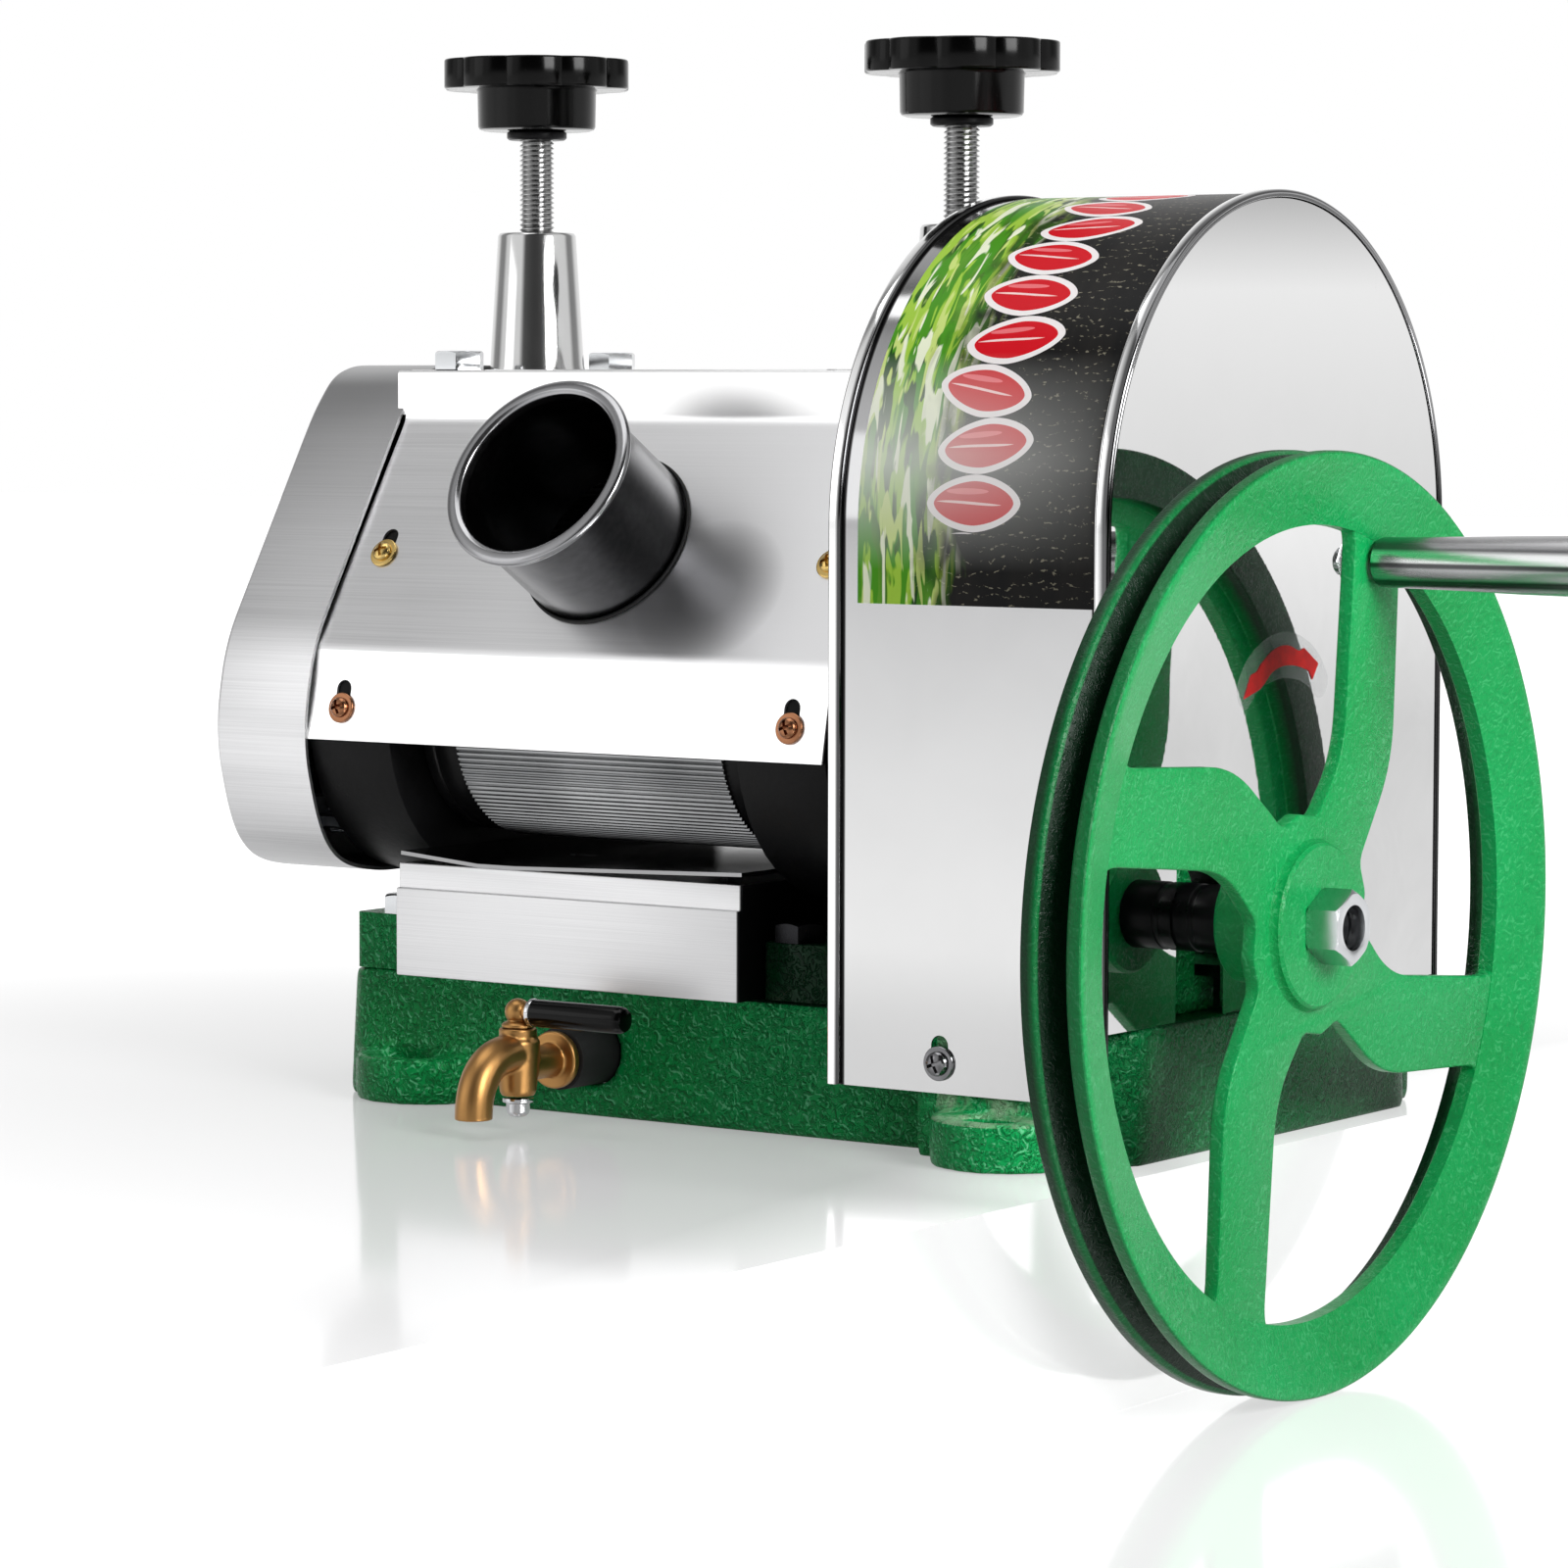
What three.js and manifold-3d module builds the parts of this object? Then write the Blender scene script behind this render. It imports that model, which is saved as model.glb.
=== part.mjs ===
// Hand-turned sugarcane juicer: a green cast base, two roller housings, three fluted rollers, a geared
// handwheel drive under an arched guard, a feed tube, a juice tray and a brass tap.
// Millimetres. X runs along the rollers towards the handwheel, Y towards the back where the pressed
// cane comes out, Z up. The origin is the middle of the base's underside.
import * as THREE from "three";
import { mergeVertices } from "three/addons/utils/BufferGeometryUtils.js";
import Module from "manifold-3d";

const wasm = await Module();
wasm.setup();

// Driving dimensions.
const gap = 0.3;

const baseLength = 368;
const baseDepth = 218;
const baseHeight = 50;
const baseWall = 9;
const baseTop = 8;
const baseCorner = 14;
const baseDraft = 0.97;
const webWidth = 36;

const leftEarX = 145;
const rightEarX = 140;
const earRadius = 29;
const earHeight = 18;
const leftEarReach = 128;
const rightEarReach = 148;
const slotLength = 22;
const slotWidth = 12;
const slotInset = 9;
const cavityCorner = 8;
const padInset = 10;
const padSpan = 73;

const rollerMidX = -63.5;
const housingGap = 167;
const housingWidth = 40;
const rollerRadius = 47.75;
const fluteCount = 132;
const fluteDepth = 0.9;
const fluteLength = 128;
const endDiscRadius = 46.4;
const endDiscLength = 18.4;
const shaftRadius = 17;
const gearSeatRadius = 14;
const lowRollerY = 57;
const topRollerZ = 228;
const rollerLift = 3;

const gearModule = 4;
const rollerTeeth = 24;
const driveTeeth = 56;
const pinionTeeth = 21;
const rollerCentres = 96.5;
const gearWidth = 28;
const driveGearWidth = 30;
const wheelAxisZ = 88;
const driveCentres = 154.78;

const railWidth = 31;
const railHeight = 22;
const railReach = 104;
const boltRadius = 5;
const boltHead = 10.4;
const boltHeadHeight = 7.5;

const housingNeck = 64;
const housingRadius = 64.4;
const slotHalf = 28;
const bushRadius = 24;
const capThickness = 11;
const capHalfDepth = 60;
const capBoltY = 51;
const bossBottomRadius = 19.2;
const bossTopRadius = 15.8;
const bossHeight = 56;
const screwRadius = 7;
const knobBottomZ = 384.3;
const collarRadius = 12.2;
const collarHeight = 2.8;
const knobHubRadius = 24.2;
const knobHubHeight = 16.7;
const knobRadius = 38.4;
const knobHeight = 12;
const knobLobes = 10;

const coverSheet = 1.2;
const coverFrontY = -123;
const coverBottomZ = 141.5;
const lowCreaseY = -116;
const lowCreaseZ = 177.4;
const highCreaseY = -62;
const highCreaseZ = 267;
const topZ = 287;
const coverSideLap = 3;

const feedRadius = 35.6;
const feedWall = 1.5;
const feedLength = 53;
const feedBead = 2.6;
const feedZ = 221.2;
const sealRadius = 37.4;
const sealThickness = 2;

const casingWidth = 47;
const casingSheet = 1.5;
const casingTopZ = 289;
const casingBottomZ = 85.7;

const guardLeftX = 64;
const guardRightX = 184;
const guardRadius = 124;
const guardSheet = 1.2;
const guardBottomZ = 24;
const beadWidth = 5.5;
const beadHeight = 1.6;
const plateSlotWidth = 34;
const plateSlotShift = 8;
const plateSlotTop = 118;

const trayFrontY = -118;
const trayRearY = 104;
const trayHeight = 44;
const traySheet = 1.5;
const trayLip = 9.6;

const wheelFaceX = 242;
const wheelRadius = 170;
const wheelWidth = 24;
const rimBand = 25.5;
const grooveDepth = 12.5;
const webThickness = 6;
const webFaceX = 234;
const hubRadius = 30;
const rearBossRadius = 22.3;
const rearBossX = 206;
const axleRadius = 12.5;
const pillowInnerWidth = 22;
const pillowOuterWidth = 26;
const pillowFoot = 38;
const pillowRadius = 24;
const nutAcross = 24;
const nutWidth = 13;
const handleInset = 33.04;
const handleAngle = (70.374 * Math.PI) / 180;
const handleLength = 110;
const handleRadius = 9.2;

const tapX = -57.6;
const tapY = -154;
const tapInletZ = 24.4;
const tapBodyTopZ = 39;
const tapBoreRadius = 4.8;
const spoutRadius = 7.3;
const spoutBore = 5;
const ballRadius = 5;
const ballZ = 45;
const leverRadius = 5.2;
const spoutReach = 27;
const leverLength = 44;

// Values that follow from the driving ones.
const halfLength = baseLength / 2;
const rimInner = wheelRadius - rimBand;
const handleY = (wheelRadius - handleInset) * Math.cos(handleAngle);
const handleZ = (wheelRadius - handleInset) * Math.sin(handleAngle);
const halfDepth = baseDepth / 2;
const lowRollerZ = topRollerZ - Math.sqrt(rollerCentres ** 2 - lowRollerY ** 2);
const wheelAxisY = -Math.sqrt(driveCentres ** 2 - (topRollerZ - wheelAxisZ) ** 2);
const innerLeftX = rollerMidX - housingGap / 2;
const innerRightX = rollerMidX + housingGap / 2;
const outerLeftX = innerLeftX - housingWidth;
const outerRightX = innerRightX + housingWidth;
const screwXs = { left: (innerLeftX + outerLeftX) / 2, right: (innerRightX + outerRightX) / 2 };
const housingBottomZ = baseHeight + railHeight;
const capBottomZ = topZ - capThickness;
const casingEndX = outerLeftX - casingWidth;
const gearLeftX = casingEndX + 8;
const gearRightX = gearLeftX + gearWidth;
const driveGearX = guardLeftX + 34;
const seatTopZ = topRollerZ - 29;
const blockTopZ = topRollerZ + 34;

// Materials.
function paint(color, roughness, metalness) {
  return new THREE.MeshStandardMaterial({ color, roughness, metalness });
}
const greenEnamel = paint(0x0c7a3a, 0.35, 0);
const blackPaint = paint(0x141414, 0.4, 0.1);
const stainless = paint(0xc9ccce, 0.25, 1);
const brushedSteel = paint(0xb4b6b8, 0.38, 1);
const darkSteel = paint(0x55575a, 0.35, 1);
const zincSteel = paint(0xc2ccd2, 0.25, 1);
const bronze = paint(0xa8763e, 0.4, 1);
const brass = paint(0xb08a3e, 0.32, 1);
const blackPlastic = paint(0x0e0e10, 0.25, 0);
const blackRubber = paint(0x101010, 0.7, 0);
const screwBrass = paint(0xb58a4a, 0.3, 1);

// A closed three.js geometry as a solid that can be joined and cut.
function solid(geometry) {
  const bare = geometry.index ? geometry.toNonIndexed() : geometry.clone();
  for (const name of Object.keys(bare.attributes)) {
    if (name !== "position") {
      bare.deleteAttribute(name);
    }
  }
  const merged = mergeVertices(bare, 1e-4);
  const corners = [];
  for (let i = 0; i < merged.index.count; i += 3) {
    const [a, b, c] = [merged.index.getX(i), merged.index.getX(i + 1), merged.index.getX(i + 2)];
    if (a !== b && b !== c && c !== a) {
      corners.push(a, b, c);
    }
  }
  return new wasm.Manifold(
    new wasm.Mesh({
      numProp: 3,
      vertProperties: new Float32Array(merged.attributes.position.array),
      triVerts: new Uint32Array(corners),
    }),
  );
}

function geometryOf(body) {
  const mesh = body.getMesh();
  const geometry = new THREE.BufferGeometry();
  geometry.setAttribute("position", new THREE.BufferAttribute(new Float32Array(mesh.vertProperties), 3));
  geometry.setIndex(new THREE.BufferAttribute(new Uint32Array(mesh.triVerts), 1));
  const flat = geometry.toNonIndexed();
  flat.computeVertexNormals();
  return flat;
}

function join(first, ...others) {
  return others.reduce((whole, next) => whole.add(next), first);
}

function cut(first, ...others) {
  return others.reduce((whole, next) => whole.subtract(next), first);
}

function shapeOf(points, holes = []) {
  const shape = new THREE.Shape(points.map(([u, v]) => new THREE.Vector2(u, v)));
  for (const hole of holes) {
    shape.holes.push(new THREE.Path(hole.map(([u, v]) => new THREE.Vector2(u, v))));
  }
  return shape;
}

// Extrusions: along Z with an (x, y) outline, along X with a (y, z) outline, along Y with an (x, z) one.
function extrude(points, from, to, holes) {
  const shape = shapeOf(points, holes);
  const geometry = new THREE.ExtrudeGeometry(shape, { depth: to - from, bevelEnabled: false });
  return geometry.translate(0, 0, from);
}
const toX = new THREE.Matrix4().makeBasis(
  new THREE.Vector3(0, 1, 0),
  new THREE.Vector3(0, 0, 1),
  new THREE.Vector3(1, 0, 0),
);
const toY = new THREE.Matrix4().makeBasis(
  new THREE.Vector3(1, 0, 0),
  new THREE.Vector3(0, 0, 1),
  new THREE.Vector3(0, -1, 0),
);
function slabZ(points, from, to, holes) {
  return solid(extrude(points, from, to, holes));
}
function slabX(points, from, to, holes) {
  return solid(extrude(points, from, to, holes).applyMatrix4(toX));
}
function slabY(points, from, to, holes) {
  return solid(extrude(points, -to, -from, holes).applyMatrix4(toY));
}

function box(x0, x1, y0, y1, z0, z1) {
  const geometry = new THREE.BoxGeometry(x1 - x0, y1 - y0, z1 - z0);
  return solid(geometry.translate((x0 + x1) / 2, (y0 + y1) / 2, (z0 + z1) / 2));
}

// Turned pieces: a (radius, height) profile about Z, about X or about Y.
function lathe(profile, sides) {
  const points = profile.map(([r, h]) => new THREE.Vector2(r, h));
  return new THREE.LatheGeometry(points, sides);
}
function turnedZ(profile, sides = 24) {
  return solid(lathe(profile, sides).rotateX(Math.PI / 2));
}
function turnedX(profile, sides = 24) {
  return solid(lathe(profile, sides).rotateZ(-Math.PI / 2).rotateX(Math.PI / 2));
}
function turnedY(profile, sides = 24) {
  return solid(lathe(profile, sides));
}
function rod(radius, from, to) {
  return [[0, from], [radius, from], [radius, to], [0, to]];
}
function ring(inner, outer, from, to) {
  return [[inner, from], [outer, from], [outer, to], [inner, to], [inner, from]];
}

function circle(radius, sides, cu = 0, cv = 0, start = 0) {
  const points = [];
  for (let i = 0; i < sides; i++) {
    const angle = start + (2 * Math.PI * i) / sides;
    points.push([cu + radius * Math.cos(angle), cv + radius * Math.sin(angle)]);
  }
  return points;
}
function arc(radius, cu, cv, fromDegrees, toDegrees, steps) {
  const points = [];
  for (let i = 0; i <= steps; i++) {
    const angle = ((fromDegrees + ((toDegrees - fromDegrees) * i) / steps) * Math.PI) / 180;
    points.push([cu + radius * Math.cos(angle), cv + radius * Math.sin(angle)]);
  }
  return points;
}
function rectangle(u0, u1, v0, v1) {
  return [[u0, v0], [u1, v0], [u1, v1], [u0, v1]];
}
function roundedRectangle(u0, u1, v0, v1, radius, steps = 4) {
  return [
    ...arc(radius, u1 - radius, v0 + radius, -90, 0, steps),
    ...arc(radius, u1 - radius, v1 - radius, 0, 90, steps),
    ...arc(radius, u0 + radius, v1 - radius, 90, 180, steps),
    ...arc(radius, u0 + radius, v0 + radius, 180, 270, steps),
  ];
}
function slotOutline(length, width, cu, cv) {
  const reach = (length - width) / 2;
  return [
    ...arc(width / 2, cu + reach, cv, -90, 90, 5),
    ...arc(width / 2, cu - reach, cv, 90, 270, 5),
  ];
}
// Each corner [u, v, radius] of an outline is eased by a short curve.
function easedOutline(corners, steps = 3) {
  const points = [];
  corners.forEach(([u, v, radius], i) => {
    if (!radius) {
      points.push([u, v]);
      return;
    }
    const before = corners[(i + corners.length - 1) % corners.length];
    const after = corners[(i + 1) % corners.length];
    const here = new THREE.Vector2(u, v);
    const a = new THREE.Vector2(before[0], before[1]).sub(here);
    const b = new THREE.Vector2(after[0], after[1]).sub(here);
    const start = here.clone().add(a.setLength(Math.min(radius, a.length() / 2)));
    const end = here.clone().add(b.setLength(Math.min(radius, b.length() / 2)));
    const curve = new THREE.QuadraticBezierCurve(start, here, end);
    curve.getPoints(steps).forEach((p) => points.push([p.x, p.y]));
  });
  return points;
}
// A polyline moved sideways by a distance, with mitred corners; positive is to its left.
function offsetLine(points, distance) {
  return points.map((here, i) => {
    const before = points[Math.max(i - 1, 0)];
    const after = points[Math.min(i + 1, points.length - 1)];
    const a = new THREE.Vector2(here[0] - before[0], here[1] - before[1]);
    const b = new THREE.Vector2(after[0] - here[0], after[1] - here[1]);
    const d1 = (i === 0 ? b.clone() : a.clone()).normalize();
    const d2 = (i === points.length - 1 ? a.clone() : b.clone()).normalize();
    const n1 = new THREE.Vector2(-d1.y, d1.x);
    const n2 = new THREE.Vector2(-d2.y, d2.x);
    const mitre = n1.clone().add(n2).normalize();
    const reach = distance / Math.max(mitre.dot(n1), 0.3);
    return [here[0] + mitre.x * reach, here[1] + mitre.y * reach];
  });
}
const mirrored = (points) => points.map(([u, v]) => [-u, v]).reverse();

// Spur gear outline with involute flanks; phase is the direction of one tooth's middle.
function gearOutline(teeth, phase) {
  const pitch = (gearModule * teeth) / 2;
  const tip = pitch + 0.94 * gearModule;
  const root = pitch - 1.2 * gearModule;
  const baseRadius = pitch * Math.cos((20 * Math.PI) / 180);
  const involute = (r) => {
    const angle = Math.acos(Math.min(1, baseRadius / r));
    return Math.tan(angle) - angle;
  };
  const halfAtPitch = (Math.PI / (2 * teeth)) * 0.95;
  const halfAt = (r) => halfAtPitch + involute(pitch) - involute(Math.max(r, baseRadius));
  const levels = [root, tip];
  const points = [];
  for (let tooth = 0; tooth < teeth; tooth++) {
    const middle = phase + (2 * Math.PI * tooth) / teeth;
    levels.forEach((r) => points.push([r, middle - halfAt(r)]));
    levels.slice().reverse().forEach((r) => points.push([r, middle + halfAt(r)]));
  }
  return points.map(([r, angle]) => [r * Math.cos(angle), r * Math.sin(angle)]);
}
// The phase that brings a second gear into mesh with a first one, seen along the axis.
function meshPhase(teethA, phaseA, teethB, direction) {
  const offsetA = ((direction - phaseA) * teethA) / (2 * Math.PI);
  const offsetB = 0.5 - offsetA;
  return direction + Math.PI - (offsetB * 2 * Math.PI) / teethB;
}

const juicer = new THREE.Group();
juicer.name = "sugarcane_juicer";

function place(name, body, material, x = 0, y = 0, z = 0, parent = juicer) {
  const mesh = new THREE.Mesh(geometryOf(body), material);
  mesh.name = name;
  mesh.position.set(x, y, z);
  parent.add(mesh);
  return mesh;
}

// Cover profile in (y, z), from the bottom edge up, and the lines inside it.
const coverLine = [
  [coverFrontY, coverBottomZ],
  [lowCreaseY, lowCreaseZ],
  [highCreaseY, highCreaseZ],
  [highCreaseY, topZ],
];
const coverInner = offsetLine(coverLine, -coverSheet);
const housingLine = offsetLine(coverLine, -(coverSheet + gap));
const slant = new THREE.Vector2(highCreaseY - lowCreaseY, highCreaseZ - lowCreaseZ).normalize();
const faceNormal = new THREE.Vector3(0, -slant.y, slant.x);
const faceTilt = Math.atan2(slant.x, slant.y);
const lowStrip = new THREE.Vector2(lowCreaseY - coverFrontY, lowCreaseZ - coverBottomZ).normalize();
const lowTilt = Math.atan2(lowStrip.x, lowStrip.y);
const faceYAt = (z) => lowCreaseY + ((z - lowCreaseZ) * slant.x) / slant.y;
const stripYAt = (z) => coverFrontY + ((z - coverBottomZ) * lowStrip.x) / lowStrip.y;

// Places of the four cover screws: x, y and z on the sheet's outer face, and the face's tilt.
const coverScrewX = (housingGap + housingWidth + 8) / 2;
const coverScrews = [];
for (const [side, sign] of [["left", -1], ["right", 1]]) {
  const x = rollerMidX + sign * coverScrewX;
  const highZ = lowCreaseZ + 0.41 * (highCreaseZ - lowCreaseZ);
  const lowZ = coverBottomZ + 0.35 * (lowCreaseZ - coverBottomZ);
  coverScrews.push({ name: `cover_screw_${side}_upper`, x, y: faceYAt(highZ), z: highZ, tilt: faceTilt });
  coverScrews.push({ name: `cover_screw_${side}_lower`, x, y: stripYAt(lowZ), z: lowZ, tilt: lowTilt });
}
// A solid made along -Y at the origin, tipped back with the sheet and moved to a screw's place.
function atScrew(body, { x, y, z, tilt }) {
  const mesh = geometryOf(body);
  mesh.rotateX(-tilt);
  mesh.translate(x, y, z);
  return solid(mesh);
}

// Base casting: a drafted box open below, with a cross web, ears, guard pads and a well for the pinion.
const draftedOutline = roundedRectangle(-halfLength, halfLength, -halfDepth, halfDepth, baseCorner);
const draftedBlock = extrude(draftedOutline, 0, baseHeight);
const blockPlaces = draftedBlock.getAttribute("position");
for (let i = 0; i < blockPlaces.count; i++) {
  if (blockPlaces.getZ(i) > baseHeight / 2) {
    blockPlaces.setX(i, blockPlaces.getX(i) * (1 - (1 - baseDraft) * 0.1));
    blockPlaces.setY(i, blockPlaces.getY(i) * baseDraft);
  }
}
let base = solid(draftedBlock);
const padX1 = halfLength - padInset;
const padX0 = padX1 - padSpan;
const padY = guardRadius - guardSheet - gap;
const padRoot = halfDepth * baseDraft - baseWall / 2;
for (const sign of [-1, 1]) {
  base = join(base, box(padX0, padX1, ...(sign < 0 ? [-padY, -padRoot] : [padRoot, padY]), 0, baseHeight));
}
for (const [x, reach] of [[-leftEarX, leftEarReach], [rightEarX, rightEarReach]]) {
  for (const sign of [-1, 1]) {
    const centreY = sign * (reach - earRadius);
    const inner = sign * padRoot;
    const ear = slabZ(circle(earRadius, 28, x, centreY), 0, earHeight);
    const neckY0 = Math.min(centreY, inner);
    const neckY1 = Math.max(centreY, inner);
    const neck = box(x - earRadius, x + earRadius, neckY0, neckY1, 0, earHeight);
    base = join(base, ear, neck);
  }
}
const cavityY = halfDepth * baseDraft - baseWall;
const cavityTop = baseHeight - baseTop;
const cavityEnd = halfLength - baseWall;
base = cut(
  base,
  slabZ(roundedRectangle(-cavityEnd, -webWidth / 2, -cavityY, cavityY, cavityCorner, 2), -1, cavityTop),
  slabZ(roundedRectangle(webWidth / 2, cavityEnd, -cavityY, cavityY, cavityCorner, 2), -1, cavityTop),
);
for (const [x, reach] of [[-leftEarX, leftEarReach], [rightEarX, rightEarReach]]) {
  for (const sign of [-1, 1]) {
    const slotY = sign * (reach - slotWidth / 2 - slotInset);
    base = cut(base, slabZ(slotOutline(slotLength, slotWidth, x, slotY), -1, earHeight + 1));
  }
}
const pinionPitch = (gearModule * pinionTeeth) / 2;
const pinionTip = pinionPitch + gearModule;
const wellHalf = Math.sqrt(Math.max(pinionTip ** 2 - (wheelAxisZ - baseHeight) ** 2, 100)) + 5;
const wellY0 = Math.max(wheelAxisY - wellHalf, -cavityY + 1);
const wellX0 = driveGearX - 5;
const wellX1 = driveGearX + driveGearWidth + 5;
base = cut(base, box(wellX0, wellX1, wellY0, wheelAxisY + wellHalf, cavityTop - 1, baseHeight + 1));
const drainY = -halfDepth * baseDraft + 23;
const elbowRadius = 10;
const spigotRadius = 12;
base = cut(
  base,
  solid(lathe(rod(spigotRadius + gap, -halfDepth - 20, drainY + 2), 24).translate(tapX, 0, tapInletZ)),
  solid(
    lathe(rod(elbowRadius + gap, cavityTop - 2, baseHeight + 1), 24)
      .rotateX(Math.PI / 2)
      .translate(tapX, drainY, 0),
  ),
);
const railXs = { left: innerLeftX - railWidth, right: innerRightX };
const boltXs = { left: innerLeftX - 11, right: innerRightX + 11 };
const railBoltY = railReach - 9;
for (const side of ["left", "right"]) {
  for (const sign of [-1, 1]) {
    const hole = lathe(rod(boltRadius + gap, cavityTop - 2, baseHeight + 1), 12).rotateX(Math.PI / 2);
    base = cut(base, solid(hole.translate(boltXs[side], sign * railBoltY, 0)));
  }
}
const guardScrewX = (guardLeftX + guardRightX) / 2 - 11;
const guardScrewZ = guardBottomZ + 11;
const guardScrewHole = lathe(rod(3 + gap, -padY - 1, -padY + 13), 12);
base = cut(base, solid(guardScrewHole.translate(guardScrewX, 0, guardScrewZ)));
place("base_casting", base, greenEnamel);

// Foot rails between the base and the housings, each held by two hexagon bolts.
for (const side of ["left", "right"]) {
  let rail = slabZ(roundedRectangle(0, railWidth, -railReach, railReach, 3, 2), 0, railHeight);
  for (const sign of [-1, 1]) {
    const hole = lathe(rod(boltRadius + gap, -1, railHeight + 1), 12).rotateX(Math.PI / 2);
    rail = cut(rail, solid(hole.translate(boltXs[side] - railXs[side], sign * railBoltY, 0)));
  }
  place(`foot_rail_${side}`, rail, greenEnamel, railXs[side], 0, baseHeight);
  for (const [end, sign] of [["front", -1], ["rear", 1]]) {
    const head = slabZ(circle(boltHead, 6), 0, boltHeadHeight);
    const shank = turnedZ(rod(boltRadius, -railHeight - baseTop + 1, 0.5), 12);
    const bolt = join(head, shank);
    place(`rail_bolt_${side}_${end}`, bolt, zincSteel, boltXs[side], sign * railBoltY, housingBottomZ);
  }
}

// Roller housings: a plate with two round lower lobes, bored for the bushes and slotted for the block.
const clipFront = housingLine.map(([y, z]) => [y, z]);
const clip = [
  [clipFront[0][0], housingBottomZ],
  ...clipFront.slice(0, 3),
  [clipFront[3][0], capBottomZ],
];
const clipOutline = [...mirrored(clip), ...clip];
const coreOutline = [
  [-housingNeck, housingBottomZ],
  [housingNeck, housingBottomZ],
  [housingNeck, lowRollerZ - 40],
  ...mirrored(housingLine.slice(1, 3)).reverse(),
  [-clip[clip.length - 1][0], capBottomZ],
  [clip[clip.length - 1][0], capBottomZ],
  ...housingLine.slice(1, 3).reverse(),
  [-housingNeck, lowRollerZ - 40],
];
function housing() {
  let body = slabX(coreOutline, 0, housingWidth);
  for (const sign of [-1, 1]) {
    body = join(body, slabX(circle(housingRadius, 40, sign * lowRollerY, lowRollerZ), 0, housingWidth));
  }
  body = body.intersect(slabX(clipOutline.slice().reverse(), -1, housingWidth + 1));
  for (const sign of [-1, 1]) {
    const bushSeat = circle(bushRadius + gap, 24, sign * lowRollerY, lowRollerZ);
    body = cut(body, slabX(bushSeat, -1, housingWidth + 1));
    const boltHole = lathe(rod(boltRadius + gap, capBottomZ - 22, capBottomZ + 1), 12).rotateX(Math.PI / 2);
    body = cut(body, solid(boltHole.translate(housingWidth / 2, sign * capBoltY, 0)));
  }
  return cut(body, box(-1, housingWidth + 1, -slotHalf, slotHalf, seatTopZ - gap, capBottomZ + 1));
}
function withScrewHoles(body, shift) {
  for (const screw of coverScrews) {
    const hole = atScrew(turnedY(rod(2.4 + gap, -4, 14), 8), { ...screw, x: screw.x - shift });
    body = cut(body, hole);
  }
  return body;
}
place("upright_left", withScrewHoles(housing(), outerLeftX), blackPaint, outerLeftX);
place("upright_right", withScrewHoles(housing(), innerRightX), blackPaint, innerRightX);

// Caps with tapered bosses, their bolts, the press screws and the lobed knobs.
const capLength = housingWidth;
for (const side of ["left", "right"]) {
  const capOutline = roundedRectangle(-capLength / 2, capLength / 2, -capHalfDepth, capHalfDepth, 4, 2);
  const plate = slabZ(capOutline, 0, capThickness);
  const boss = turnedZ(
    [
      [0, 0],
      [bossBottomRadius + 0.6, 0],
      [bossTopRadius, capThickness + bossHeight],
      [0, capThickness + bossHeight],
    ],
    32,
  );
  let cap = join(plate, boss);
  cap = cut(cap, turnedZ(rod(screwRadius + gap + 0.1, -1, capThickness + bossHeight + 1), 18));
  for (const sign of [-1, 1]) {
    const hole = lathe(rod(boltRadius + gap, -1, capThickness + 1), 12).rotateX(Math.PI / 2);
    cap = cut(cap, solid(hole.translate(0, sign * capBoltY, 0)));
  }
  place(`cap_${side}`, cap, stainless, screwXs[side], 0, capBottomZ);
  for (const [end, sign] of [["front", -1], ["rear", 1]]) {
    const head = slabZ(circle(boltHead, 6), 0, boltHeadHeight);
    const shank = turnedZ(rod(boltRadius, -capThickness - 18, 0.5), 12);
    place(`cap_bolt_${side}_${end}`, join(head, shank), zincSteel, screwXs[side], sign * capBoltY, topZ);
  }
  const screwLength = knobBottomZ - blockTopZ - gap;
  const screw = join(
    turnedZ(rod(screwRadius, 0, screwLength), 16),
    turnedZ(rod(collarRadius, screwLength - collarHeight, screwLength), 20),
  );
  place(`press_screw_${side}`, screw, zincSteel, screwXs[side], 0, blockTopZ + gap);
  const lobes = [];
  for (let i = 0; i < knobLobes * 4; i++) {
    const angle = (2 * Math.PI * i) / (knobLobes * 4);
    const wave = Math.abs(Math.sin((knobLobes * angle) / 2));
    const r = knobRadius * (0.945 + 0.055 * Math.sqrt(wave));
    lobes.push([r * Math.cos(angle), r * Math.sin(angle)]);
  }
  const knob = join(
    slabZ(lobes, knobHubHeight, knobHubHeight + knobHeight),
    turnedZ(
      [
        [0, 0],
        [knobHubRadius - 1.5, 0],
        [knobHubRadius, 2],
        [knobHubRadius, knobHubHeight + 1],
        [0, knobHubHeight + 1],
      ],
      24,
    ),
  );
  place(`knob_${side}`, knob, blackPlastic, screwXs[side], 0, knobBottomZ);
}

// Sliding bearing blocks of the top roller, and plain bushes of the lower rollers.
for (const [side, x] of [["left", outerLeftX], ["right", innerRightX]]) {
  const outline = rectangle(-slotHalf + gap, slotHalf - gap, seatTopZ - topRollerZ, blockTopZ - topRollerZ);
  const block = slabX(outline, 0, housingWidth, [circle(shaftRadius + 0.4, 24)]);
  place(`bearing_block_${side}`, block, darkSteel, x, 0, topRollerZ);
  for (const [end, sign] of [["front", -1], ["rear", 1]]) {
    const bush = turnedX(ring(shaftRadius + 0.4, bushRadius, 0, housingWidth), 24);
    place(`bush_${side}_${end}`, bush, bronze, x, sign * lowRollerY, lowRollerZ);
  }
}

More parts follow.
